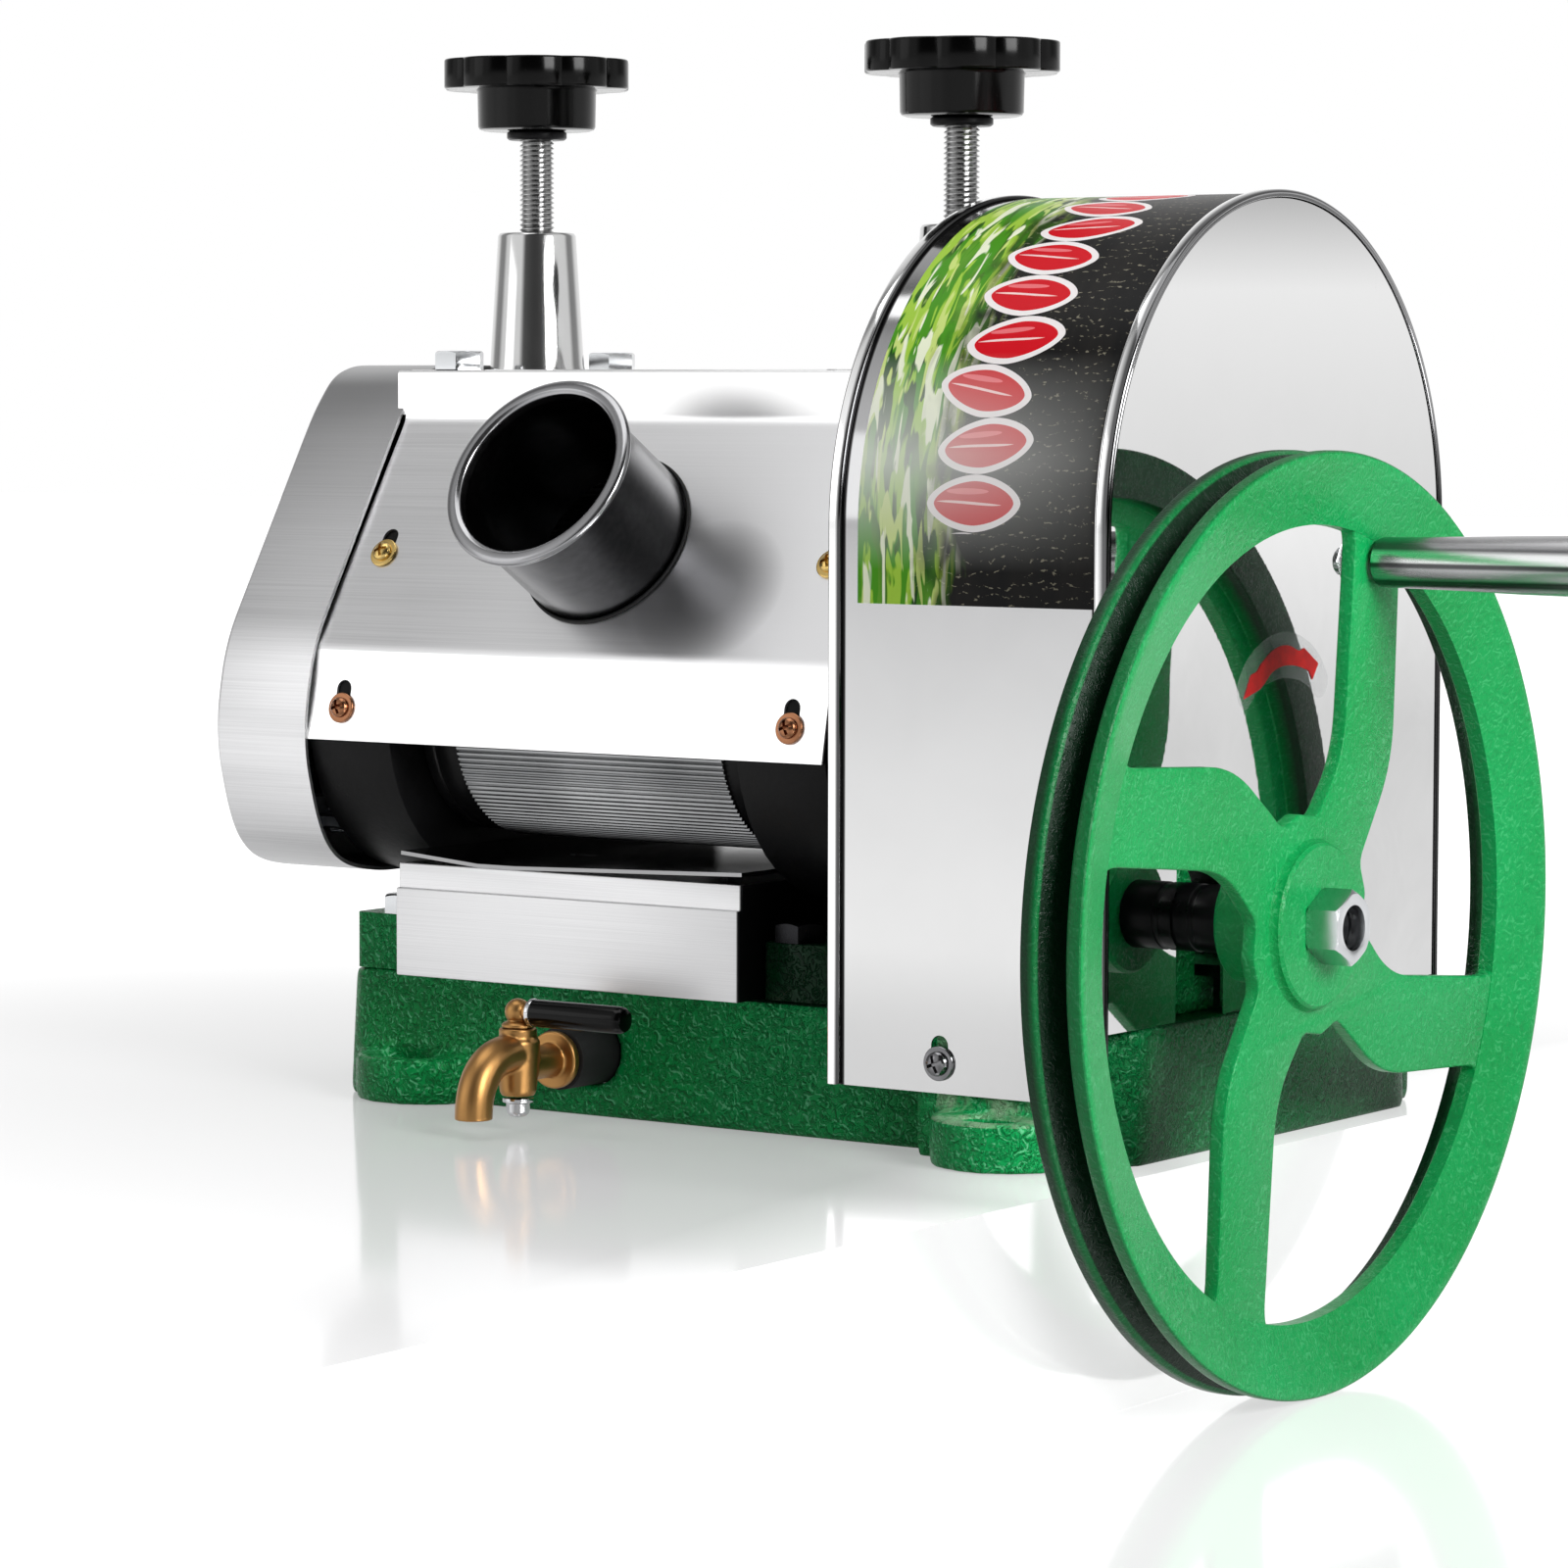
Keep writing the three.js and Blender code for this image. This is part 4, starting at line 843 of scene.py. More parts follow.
for side in ("left", "right"):
    rail = smoothed(eased(copy_of("foot_rail_" + side), 1.3, 3))
    fitted(rail, green_casting, "frame", "green_enamel", "foot_rail_" + side)
    housing = smoothed(eased(copy_of("upright_" + side), 1.6, 3), 40)
    fitted(housing, black_casting, "frame", "black_paint", "upright_" + side)
    slide = smoothed(eased(copy_of("bearing_block_" + side), 0.6, 2))
    fitted(slide, block_steel, "carriage", "dark_steel", "bearing_block_" + side)
for name in ("pillow_block_inner", "pillow_block_outer"):
    pillow = smoothed(eased(copy_of(name), 1.2, 3))
    fitted(pillow, green_casting, "frame", "green_enamel", name)


# Bolts, caps, press screws and knobs

CORNER = 10.4
HEAD = 7.5


def hexagon_bolt(name, shank):
    """A bolt head with its turned chamfer, on a plain shank."""
    head = plate(name, [circle(CORNER, 6)], 0, HEAD, edge=0.15)
    crown = turned(
        "crown",
        [(0, -1), (CORNER + 1, -1), (CORNER + 1, HEAD - 1.5), (CORNER - 1.6, HEAD), (0, HEAD)],
    )
    carved(head, crown, operation="INTERSECT")
    stem = turned("stem", [(0, -shank), (4.4, -shank), (5, 0.6 - shank), (5, 0.5), (0, 0.5)], sides=24)
    return smoothed(joined(name, head, stem), 30)


rail_bolt = hexagon_bolt("rail_bolt", 29)
cap_bolt = hexagon_bolt("cap_bolt", 28)
for side, rail_x, cap_x in (("left", -158, -167), ("right", 31, 40)):
    for end, sign in (("front", -1), ("rear", 1)):
        name = f"rail_bolt_{side}_{end}"
        bolt = twin(rail_bolt, name + "_head", (rail_x, sign * 95, 72))
        # The right rail's bolts take the zinc darkened by painted shade.
        fitted(bolt, zinc if side == "left" else bolt_in_painted_shade, "frame", "zinc_steel", name)
        name = f"cap_bolt_{side}_{end}"
        bolt = twin(cap_bolt, name + "_head", (cap_x, sign * 51, CAP_TOP))
        fitted(bolt, zinc, "frame", "zinc_steel", name)
bpy.data.objects.remove(rail_bolt)
bpy.data.objects.remove(cap_bolt)

SCREW = 7.0
PITCH = 2.0


def thread(name, start, end):
    """A helical thread: one turn of its profile wound up the screw."""
    root = SCREW - 1.1
    line = drawn(name, [(root, 0, 0), (SCREW, 0, 0.85), (SCREW, 0, 1.15), (root, 0, PITCH)])
    bpy.ops.object.mode_set(mode="OBJECT")
    turns = int((end - start) / PITCH)
    modified(
        line,
        "SCREW",
        axis="Z",
        steps=40,
        render_steps=40,
        angle=2 * math.pi,
        screw_offset=PITCH * MM,
        iterations=turns,
        use_merge_vertices=True,
        merge_threshold=0.005 * MM,
    )
    line.location = (0, 0, start * MM)
    settle(line)
    cleaned(line)
    bpy.ops.object.mode_set(mode="EDIT")
    bpy.ops.mesh.select_all(action="SELECT")
    bpy.ops.mesh.fill_holes(sides=0)
    bpy.ops.mesh.normals_make_consistent(inside=False)
    bpy.ops.object.mode_set(mode="OBJECT")
    return line


screw_x = {"left": -167, "right": 40}
for side, x in screw_x.items():
    foot = plate("cap_foot", [rounded(-20, 20, -60, 60, 4)], 276, CAP_TOP, edge=1.3, steps=3)
    boss = turned(
        "cap_boss",
        [
            (7.5, 277),
            (19.6, 277),
            (19.75, 286),
            (19.2, 289),
            (15.9, 341.6),
            (15.2, 342.8),
            (14, 343),
            (8.4, 343),
            (7.5, 342.2),
            (7.5, 277),
        ],
        edge=0.25,
    )
    cap = stood(joined("cap_and_boss_" + side, foot, boss), "Z", (x, 0, 0))
    fitted(smoothed(cap), cap_steel, "frame", "stainless", "cap_" + side)

    stem = thread("press_thread", 264, 382)
    tip = turned("tip", [(0, 262.3), (5, 262.3), (6.2, 263.6), (6.2, 266), (0, 266)], sides=32)
    collar = turned(
        "collar",
        [(0, 380.6), (11.2, 380.6), (12.2, 381.4), (12.2, 383.6), (11.4, 384.3), (0, 384.3)],
        edge=0.2,
    )
    screw = stood(joined("press_screw_thread_" + side, stem, tip), "Z", (x, 0, 0))
    fitted(smoothed(screw, 50), thread_steel, side + "_screw", "zinc_steel", "press_screw_" + side)
    stood(collar, "Z", (x, 0, 0))
    collar.name = "press_screw_collar_" + side
    fitted(smoothed(collar), black_shaft, side + "_screw", "black_paint")

    lobes = []
    for i in range(240):
        turn = 2 * math.pi * i / 240
        wave = abs(math.sin(5 * turn)) ** 0.75
        radius = 38.4 * (0.94 + 0.06 * wave)
        lobes.append((radius * math.cos(turn), radius * math.sin(turn)))
    disc = plate("knob_disc", [lobes], 401, 413, edge=0.9, steps=3)
    hub = turned(
        "knob_hub",
        [(0, 384.4), (21.9, 384.4), (23.3, 384.9), (23.9, 386), (24.2, 400), (25, 401.4), (0, 401.4)],
    )
    dimple = turned("dimple", [(0, 412.1), (24, 412.1), (24.8, 413.5), (0, 413.5)])
    crown = turned(
        "crown", [(0, 411.3), (22.6, 411.3), (23.6, 412.2), (23.2, 412.5), (21, 412.6), (0, 412.3)]
    )
    carved(disc, dimple)
    knob = stood(joined("knob_moulding_" + side, disc, hub, crown), "Z", (x, 0, 0))
    fitted(smoothed(knob, 32), knob_plastic, side + "_screw", "black_plastic", "knob_" + side)


# Rollers, bushes and gears

TOP_Z = 228
LOW_Z = 150.133
FLUTES = 132
FLUTE = ((0.0, 47.75), (0.22, 47.6), (0.42, 46.95), (0.5, 46.85), (0.58, 46.95), (0.78, 47.6))


def fluted_roller(name, right_end):
    """A roller body with rounded flutes, its two black-faced discs and its shaft."""
    outline = []
    for i in range(FLUTES):
        for share, radius in FLUTE:
            turn = 2 * math.pi * (i + share) / FLUTES
            outline.append((radius * math.cos(turn), radius * math.sin(turn)))
    body = plate(name, [outline], -127.5, 0.5, "X", edge=0.12, steps=1)
    ends = []
    for outer, inner in ((-145.9, -127.5), (0.5, 18.9)):
        face, back = (outer, inner) if outer < -100 else (inner, outer)
        way = 1 if back > face else -1
        ring = [
            (16.8, face + way * 0.2),
            (24, face + way * 0.2),
            (24.4, face + way * 1.2),
            (28, face + way * 1.2),
            (28.4, face),
            (44.6, face),
            (46.4, face + way * 1.4),
            (46.4, face + way * 5.6),
            (45.7, face + way * 6.0),
            (45.7, face + way * 7.0),
            (46.4, face + way * 7.4),
            (46.4, back),
            (16.8, back),
            (16.8, face + way * 0.2),
        ]
        ends.append(turned("disc", ring, "X", sides=128, edge=0.15))
    shaft = [
        (0, -227.8),
        (13, -227.8),
        (14, -226.8),
        (14, -197),
        (17, -197),
        (17, right_end - 0.8),
        (16.2, right_end),
    ]
    if right_end > 80:
        shaft += [(14, right_end), (14, 130.2), (13.2, 131), (0, 131)]
    else:
        shaft.append((0, right_end))
    return body, ends, turned("shaft", shaft, "X", sides=64, edge=0.2)


for end, y, z, right, body_name in (
    ("top", 0, TOP_Z, 97, "top_roller"),
    ("front", -57, LOW_Z, 62, "front_roller"),
    ("rear", 57, LOW_Z, 62, "rear_roller"),
):
    body, ends, shaft = fluted_roller("fluted_roller_" + end, right)
    discs = joined("roller_discs_" + end, *ends)
    whole = joined("fluted_roller_" + end, body, shaft)
    stood(whole, "Z", (0, y, z))
    stood(discs, "Z", (0, y, z))
    fitted(smoothed(whole, 40), fluted_steel, body_name, "brushed_steel", "roller_" + end)
    fitted(smoothed(discs, 35), black_disc, body_name, "black_paint")

for node, body_name in (
    ("roller_gear_top", "top_roller"),
    ("roller_gear_front", "front_roller"),
    ("roller_gear_rear", "rear_roller"),
    ("drive_gear", "top_roller"),
    ("pinion", "wheel"),
):
    gear = smoothed(eased(copy_of(node), 0.4, 1, 20), 20)
    fitted(gear, gear_steel, body_name, "dark_steel", node)
for side in ("left", "right"):
    for end in ("front", "rear"):
        bush = smoothed(eased(copy_of(f"bush_{side}_{end}"), 0.4, 1))
        fitted(bush, bronze, "frame", "bronze", f"bush_{side}_{end}")


# Covers

SHEET = 1.2
FACE_TILT = math.atan2(54, 89.6)
STRIP_TILT = math.atan2(7, 35.9)


def face_y(z):
    return -116 + (z - 177.4) * 54 / 89.6


def strip_y(z):
    return -123 + (z - 141.5) * 7 / 35.9


TUBE_Z = 221.2
TUBE_PLACE = (-63.5, face_y(TUBE_Z), TUBE_Z)


def cover_profile(sign):
    corners = [
        (-123, 141.5, 0),
        (-116, 177.4, 3),
        (-62, 267, 2.5),
        (-62, CAP_TOP, 2.2),
        (-0.4, CAP_TOP, 0),
    ]
    outer = softened(corners, 6, closed=False)
    inner = beside(outer, -SHEET)
    loop = outer + inner[::-1]
    return [(sign * y, z) for y, z in loop]


def cover_screw_places():
    for side, x in (("left", -171), ("right", 44)):
        for level, z, tilt, y_at in (
            ("upper", 214.14, FACE_TILT, face_y),
            ("lower", 154.07, STRIP_TILT, strip_y),
        ):
            yield side, level, (x, y_at(z), z), tilt


def slot(length, width, cu, cv, steps=10):
    reach = (length - width) / 2
    return arc(width / 2, cu, cv + reach, 0, 180, steps) + arc(width / 2, cu, cv - reach, 180, 360, steps)


for end, sign in (("front", -1), ("rear", 1)):
    sheet = plate("cover_sheet", [cover_profile(-sign)], -190, 60, "X", edge=0.25, steps=1)
    near, far = sorted((-sign, sign * 61.2))
    trims = [
        block("trim", (-191, near, 283), (-146, far, 290)),
        block("trim", (19, near, 283), (61, far, 290)),
    ]
    carved(sheet, *trims)
    if end == "front":
        hole = turned("hole", [(0, -12), (35.9, -12), (35.9, 12), (0, 12)], "Y", TUBE_PLACE, 96, -FACE_TILT)
        carved(sheet, hole)
        for _, _, place, tilt in cover_screw_places():
            carved(sheet, plate("slot", [slot(14.4, 7.2, 0, 4.0)], -4, 4, "Y", place, -tilt, 0.0, 1))
        fitted(smoothed(sheet, 30), cover_steel, "frame", "brushed_steel", "feed_cover")
    else:
        carved(sheet, block("window", (-133, 40, 183.4), (6, 128, 233), 4, 3))
        fitted(smoothed(sheet, 30), cover_steel, "frame", "brushed_steel", "rear_cover")


def pan_screw(name, radius, washer, stem, length):
    """A cross-recess pan head on its washer."""
    flat = turned(
        name, [(0, -0.1), (washer, -0.1), (washer, 0.6), (washer - 0.3, 0.9), (0, 0.9)], edge=0.1
    )
    outline = [(0, 0.5), (radius, 0.5), (radius, 1.6)]
    for angle in range(15, 90, 15):
        turn = math.radians(angle)
        outline.append((radius * math.cos(turn), 1.6 + 2.1 * math.sin(turn)))
    dome = turned("dome", outline + [(0, 3.7)])
    for turn in (0, 90):
        bar = block("bar", (-radius * 0.72, -0.62, 1.5), (radius * 0.72, 0.62, 6))
        bar.rotation_euler = (0, 0, math.radians(turn + 20))
        carved(dome, settle(bar))
    shank = turned("stem", [(0, -length), (stem, 0.4 - length), (stem, 0.5), (0, 0.5)], sides=24)
    return smoothed(joined(name, flat, dome, shank), 35)


for side, level, place, tilt in cover_screw_places():
    screw = pan_screw("cover_screw", 4.0, 6.0, 2.4, 12)
    out_y = place[1] - 0.3 * math.cos(tilt)
    out_z = place[2] + 0.3 * math.sin(tilt)
    stood(screw, "Y", (place[0], out_y, out_z), -tilt)
    screw.name = f"cover_screw_{side}_{level}_head"
    finish = yellow_screw if level == "upper" else copper_screw
    fitted(screw, finish, "frame", "screw_brass", f"cover_screw_{side}_{level}")
screw = pan_screw("guard_screw_head", 4.6, 6.4, 3.0, 12)
screw.scale = (1, 1, 1.1)
settle(screw)
stood(screw, "Y", (113, -124.3, 35))
fitted(screw, guard_bolt, "frame", "zinc_steel", "guard_screw")

casing_half = [
    (-78, 85.7, 8),
    (-99, 89.2, 10),
    (-110.5, 97.2, 10),
    (-117.5, 110.7, 12),
    (-125.75, 142.04, 18),
    (-118.65, 178.4, 14),
    (-64.8, 267.8, 10),
    (-58.6, 276, 8),
    (-51, 284.5, 8),
    (-41, 288.2, 6),
    (-33.5, 289, 6),
]
casing_line = softened(casing_half + [(-y, z, radius) for y, z, radius in casing_half[::-1]], 8)
casing_inside = beside(casing_line + casing_line[:2], -1.5)[1:-1]
casing = plate("casing_pressed", [casing_line], -234, -180, "X", edge=2.2, steps=4)
hollow = plate("hollow", [casing_inside], -232.5, -170, "X", edge=1.2, steps=3)
carved(casing, block("trim", (-187.3, -140, 60), (-160, 140, 300)), hollow)
fitted(smoothed(casing, 30), casing_steel, "frame", "brushed_steel", "casing_left")

tube = turned(
    "feed_tube_rolled",
    [
        (34.1, -6),
        (35.6, -6),
        (35.6, 48.6),
        (36.4, 49.6),
        (38.6, 49.0),
        (40.0, 49.6),
        (40.5, 51.0),
        (40.0, 52.3),
        (38.4, 53.0),
        (36.0, 53.0),
        (34.5, 52.0),
        (34.1, 50.4),
        (34.1, -6),
    ],
    "Y",
    TUBE_PLACE,
    128,
    -FACE_TILT,
    0.35,
)
tube_steel = tube_steel_finish("dark_tube_steel", TUBE_PLACE, FACE_TILT)
fitted(tube, tube_steel, "frame", "dark_steel", "feed_tube")
seal = turned(
    "tube_seal_ring",
    [(35.9, 0.3), (37.0, 0.3), (37.0, 0.9), (36.7, 1.3), (36.2, 1.4), (35.9, 1.2), (35.9, 0.3)],
    "Y",
    TUBE_PLACE,
    96,
    -FACE_TILT,
)
fitted(seal, seal_rubber, "frame", "black_rubber", "tube_seal")


# Guard

GUARD_BOTTOM = 24


def arch(radius, bottom=GUARD_BOTTOM, steps=120):
    return [(-radius, bottom)] + arc(radius, 0, GUARD_Z, 180, 0, steps) + [(radius, bottom)]


def between(outer, inner, bottom=GUARD_BOTTOM):
    """The outline of an arched strip between two distances outside the guard's radius."""
    return arch(GUARD_RADIUS + outer, bottom) + arch(GUARD_RADIUS + inner, bottom)[::-1]


wrap = plate("guard_sheet", [between(0, -SHEET)], 64, 184, "X", edge=0.2, steps=1)
beads = []
for start, end in ((64, 69.5), (178.5, 184)):
    beads.append(plate("bead", [between(1.6, -0.6)], start, end, "X", edge=1.05, steps=4))
wrap = joined("guard_sheet_beaded", wrap, *beads)
carved(wrap, plate("slot", [slot(14, 7.4, 113, 38.2)], -4, 8, "Y", (0, -GUARD_RADIUS, 0), 0, 0.0, 1))
fitted(smoothed(wrap, 35), guard_steel, "frame", "stainless", "guard_wrap")

end_plate = plate("guard_end_face", [arch(GUARD_RADIUS - 1.5, 50)], 182, 183.2, "X", edge=0.2, steps=1)
shaft_hole = circle(13.5, 48, WHEEL_Y, WHEEL_Z)
for opening in (rounded(WHEEL_Y - 9, WHEEL_Y + 25, 42, 118, 6), shaft_hole):
    carved(end_plate, plate("slot", [opening], 180, 186, "X", edge=0.0, steps=1))
fitted(smoothed(end_plate), plate_steel, "frame", "stainless", "guard_end_plate")
inner_slot = slot(44, 42, 0, 230)
inner_plate = plate("guard_inner_face", [arch(GUARD_RADIUS - 1.5, 50)], 65.5, 66.7, "X", edge=0.2, steps=1)
carved(inner_plate, plate("slot", [inner_slot], 60, 70, "X", edge=0.0, steps=1))
fitted(smoothed(inner_plate), cap_steel, "frame", "stainless", "guard_inner_plate")

ART_START = 76.5
ART_END = 177.5
ART_BOTTOM = 201.5
band = plate(
    "guard_print", [between(0.24, 0.03, ART_BOTTOM)], ART_START, ART_END, "X", edge=0.04, steps=1
)
fitted(band, art_print, "frame", "stainless")

STICKER_X = 183.25
film_line = [
    (-34.6, 168.4, 6),
    (-24, 183, 14),
    (1.3, 191.5, 22),
    (26, 184, 14),
    (37.6, 169.7, 6),
    (29.9, 161.6, 8),
    (20, 169.5, 8),
    (1.7, 173.1, 18),
    (-18, 168.5, 8),
    (-26.9, 159, 8),
]
sticker = plate(
    "direction_film", [softened(film_line, 6)], STICKER_X, STICKER_X + 0.12, "X", edge=0.03, steps=1
)
fitted(sticker, film, "frame", "stainless")
arrow_line = [
    (-28, 165.5, 0.6),
    (-22.7, 174.3, 0.6),
    (-18.2, 175.2, 1),
    (-15.2, 178.1, 1),
    (-6, 183.4, 6),
    (4.5, 184.9, 6),
    (13.2, 181.6, 3),
    (17, 182.9, 0.6),
    (28, 176.6, 0.6),
    (23.4, 170.4, 0.6),
    (20.6, 174.2, 1),
    (12, 176.4, 5),
    (1.6, 177.1, 5),
    (-7.5, 174.7, 3),
    (-12.6, 170.6, 1),
    (-16, 168.7, 0.6),
]
arrow = plate(
    "direction_arrow",
    [softened(arrow_line, 4)],
    STICKER_X + 0.13,
    STICKER_X + 0.25,
    "X",
    edge=0.03,
    steps=1,
)
fitted(arrow, red_ink, "frame", "stainless")


# Handwheel, shaft, nut and handle

rim_section = [
    (143.5, 234.2, 0),
    (143.5, 227.6, 1),
    (152, 227.6, 1.5),
    (152, 218, 1),
    (RIM, 218, 1.2),
    (RIM, 223.5, 1.2),
    (157.5, GROOVE_X, 2),
    (RIM, 236.5, 1.2),
    (RIM, 242, 1.4),
    (166.6, 242, 2),
]
rim_line = softened(rim_section, 3)
rim = turned("handwheel_casting", rim_line + rim_line[:1], "X", sides=192)
window = [(u, v, 0) for u, v in arc(144.5, 0, 0, 77.6, 153.8, 24)]
window[0] = (*window[0][:2], 10)
window[-1] = (*window[-1][:2], 10)
window += [(-55, 60, 16), (-20.5, 36, 4), (-9, 40.5, 2), (4, 38.5, 4), (23.5, 60, 16)]
window = softened(window, 8)
loops = [circle(146, 160)]
for quarter in range(4):
    c, s = math.cos(-math.pi / 2 * quarter), math.sin(-math.pi / 2 * quarter)
    loops.append([(y * c - z * s, y * s + z * c) for y, z in window])
loops.append(circle(10.4, 48))
loops.append(circle(5.3, 32, 46, 129))
web = plate("web", loops, 228, 234, "X", edge=0.9, steps=3)
rear_boss = [
    (10.4, 206),
    (21.2, 206),
    (22.3, 207.4),
    (22.4, 224.5),
    (23.4, 227),
    (25.6, 229),
    (10.4, 229),
]
face_boss = [
    (10.4, 232),
    (33.6, 233.7),
    (31.2, 234.4),
    (30.1, 235.8),
    (29.9, 237.4),
    (28.8, 238.5),
    (10.4, 238.5),
]
wheel = carved(rim, web, operation="UNION")
for section in (rear_boss, face_boss):
    carved(wheel, turned("boss", section + section[:1], "X", sides=96), operation="UNION")
cleaned(wheel, 0.02)
stood(wheel, "Z", (0, WHEEL_Y, WHEEL_Z))
smoothed(wheel, 32)
fitted(wheel, green_wheel, "wheel", "green_enamel", "handwheel")

shaft = turned(
    "drive_shaft_stepped",
    [
        (0, 68),
        (11.7, 68),
        (12.5, 68.8),
        (12.5, 172.6),
        (11.9, 173),
        (11.9, 175.4),
        (12.5, 175.8),
        (12.5, 189),
        (12.1, 189.3),
        (12.1, 191.4),
        (12.5, 191.8),
        (12.5, 205),
        (11.9, 205.7),
        (10, 205.7),
        (10, 237.5),
        (8, 237.5),
        (8, 244.6),
        (7.2, 245.4),
        (0, 245.4),
    ],
    "X",
    (0, WHEEL_Y, WHEEL_Z),
    72,
    edge=0.15,
)
fitted(shaft, black_shaft, "wheel", "black_paint", "drive_shaft")

NUT_FLATS = 24
nut_hexagon = arc(NUT_FLATS / math.sqrt(3), 0, 0, 30, 330, 5)
nut = plate("wheel_nut_chamfered", [nut_hexagon, circle(8.2, 48)], 238.5, 251.5, "X", edge=0.15)
crown = turned(
    "crown", [(0, 238.4), (12.6, 238.4), (14.6, 239.8), (14.6, 250), (12.2, 251.5), (0, 251.5)], "X"
)
carved(nut, crown, operation="INTERSECT")
stood(nut, "Z", (0, WHEEL_Y, WHEEL_Z))
fitted(smoothed(nut, 28), zinc, "wheel", "zinc_steel", "wheel_nut")

HANDLE = (0, WHEEL_Y + 46.0, WHEEL_Z + 129.0)
pin = turned(
    "handle_pin_turned",
    [
        (0, 218),
        (4.2, 218),
        (5, 218.8),
        (5, 234),
        (6, 234),
        (6, 235.2),
        (5, 235.2),
        (5, 345.8),
        (7.5, 345.8),
        (7.5, 347.4),
        (6.6, 349.2),
        (4.6, 350.2),
        (0, 350.4),
    ],
    "X",
    HANDLE,
    48,
)
pin_nut = plate("pin_nut", [circle(7.2, 6)], 221, 228, "X", HANDLE, edge=0.5)
fitted(smoothed(joined("handle_pin_turned", pin, pin_nut), 30), zinc, "wheel", "zinc_steel", "handle_pin")
grip = turned(
    "handle_grip_turned",
    [
        (5.4, 235.5),
        (7.8, 235.5),
        (8.8, 236.2),
        (9.2, 237.6),
        (9.4, 252),
        (9.8, 268),
        (10.5, 292),
        (11.0, 314),
        (10.9, 328),
        (10.5, 337),
        (9.5, 343),
        (8.0, 345.5),
        (5.4, 345.5),
        (5.4, 235.5),
    ],
    "X",
    HANDLE,
    72,
)
fitted(smoothed(grip, 45), grip_steel, "grip", "stainless", "handle_grip")


# Tray, chute, elbow and tap

tray = smoothed(eased(copy_of("juice_tray"), 0.5, 2, 40), 30)
fitted(tray, tray_steel, "frame", "stainless", "juice_tray")
chute = smoothed(eased(copy_of("juice_chute"), 0.4, 2, 40), 20)
fitted(chute, chute_steel, "frame", "stainless", "juice_chute")
elbow = smoothed(eased(copy_of("drain_elbow"), 0.6, 2, 40), 40)
fitted(elbow, seal_rubber, "frame", "black_rubber", "drain_elbow")

TAP_X = -57.6
TAP_Y = -154
TAP = (TAP_X, TAP_Y, 0)
LEVER = (TAP_X, TAP_Y, 45)
INLET = (TAP_X, TAP_Y, 24.4)


def swept(name, points, radius, ends):
    """A round bar along a smooth curve, with closed ends."""
    curve = bpy.data.curves.new(name, "CURVE")
    curve.dimensions = "3D"
    curve.bevel_depth = radius * MM
    curve.bevel_resolution = 10
    curve.resolution_u = 24
    curve.use_fill_caps = True
    spline = curve.splines.new("BEZIER")
    spline.bezier_points.add(len(points) - 1)
    for knot, (place, before, after), size in zip(spline.bezier_points, points, ends):
        knot.co = Vector(place) * MM
        knot.handle_left = Vector(before) * MM
        knot.handle_right = Vector(after) * MM
        knot.radius = size
    bar = bpy.data.objects.new(name, curve)
    bpy.context.scene.collection.objects.link(bar)
    pick(bar)
    bpy.ops.object.convert(target="MESH")
    return cleaned(bpy.context.object)


spout = swept(
    "spout",
    [
        ((TAP_X, -158, 29.4), (TAP_X, -154, 29), (TAP_X, -170.7, 30.4)),
        ((TAP_X, -181, 6.9), (TAP_X, -181, 23.4), (TAP_X, -181, 0)),
    ],
    7.3,
    (1.0, 0.98),
)
body = turned(
    "tap_body_cast",
    [(0, 13.2), (6.2, 13.2), (7.0, 15), (8.4, 30), (8.4, 33.8), (7.2, 35.4), (7.2, 38.9), (0, 38.9)],
    "Z",
    TAP,
    64,
)
inlet = turned("inlet", [(0, -20.8), (6.4, -20.8), (6.4, 0), (0, 0)], "Y", INLET, 48)
flange = turned(
    "flange",
    [(0, -24.6), (10.6, -24.6), (11.0, -23.6), (11.0, -21.4), (10.6, -20.6), (0, -20.6)],
    "Y",
    INLET,
    64,
)
tap = cast(joined("tap_body_cast", body, inlet, flange, spout), 0.55, 3, 0.5)
bore = turned("bore", [(0, -1), (5, -1), (5, 16), (0, 16)], "Z", (TAP_X, TAP_Y - 27, 0), 32)
carved(tap, bore)
fitted(smoothed(tap, 50), brass_cast, "frame", "brass", "tap_body")

collar = turned(
    "tap_plug_turned",
    [
        (0, 13),
        (4.4, 13),
        (4.4, 39.3),
        (6.2, 39.3),
        (6.2, 40.2),
        (5.6, 40.8),
        (4.1, 41.5),
        (3.8, 43),
        (3.8, 45),
        (0, 45),
    ],
    "Z",
    TAP,
    48,
    edge=0.15,
)
deselect()
bpy.ops.mesh.primitive_uv_sphere_add(
    segments=48, ring_count=24, radius=5 * MM, location=Vector(LEVER) * MM
)
ball = settle(bpy.context.object)
bpy.ops.object.shade_smooth()
neck = turned("neck", [(0, 0), (3, 0), (3, 5.6), (4.6, 5.9), (4.6, 6.6), (0, 6.6)], "X", LEVER, 32)
plug = joined("tap_plug_turned", collar, ball, neck)
fitted(smoothed(plug, 40), brass_cast, "tap", "brass", "tap_plug")
lever = turned(
    "tap_lever_sleeve",
    [
        (0, 6.9),
        (4.5, 6.9),
        (5.1, 7.7),
        (5.2, 9),
        (5.2, 47.6),
        (4.9, 49.4),
        (4.2, 50.5),
        (3, 50.9),
        (0, 50.9),
    ],
    "X",
    LEVER,
    48,
)
fitted(smoothed(lever, 45), knob_plastic, "tap", "black_plastic", "tap_lever_grip")
ring = turned(
    "tap_lever_ring",
    [(4.4, 6.7), (5.3, 6.7), (5.5, 7.6), (5.3, 8.5), (4.4, 8.5), (4.4, 6.7)],
    "X",
    LEVER,
)
fitted(smoothed(ring, 40), chrome, "tap", "zinc_steel")
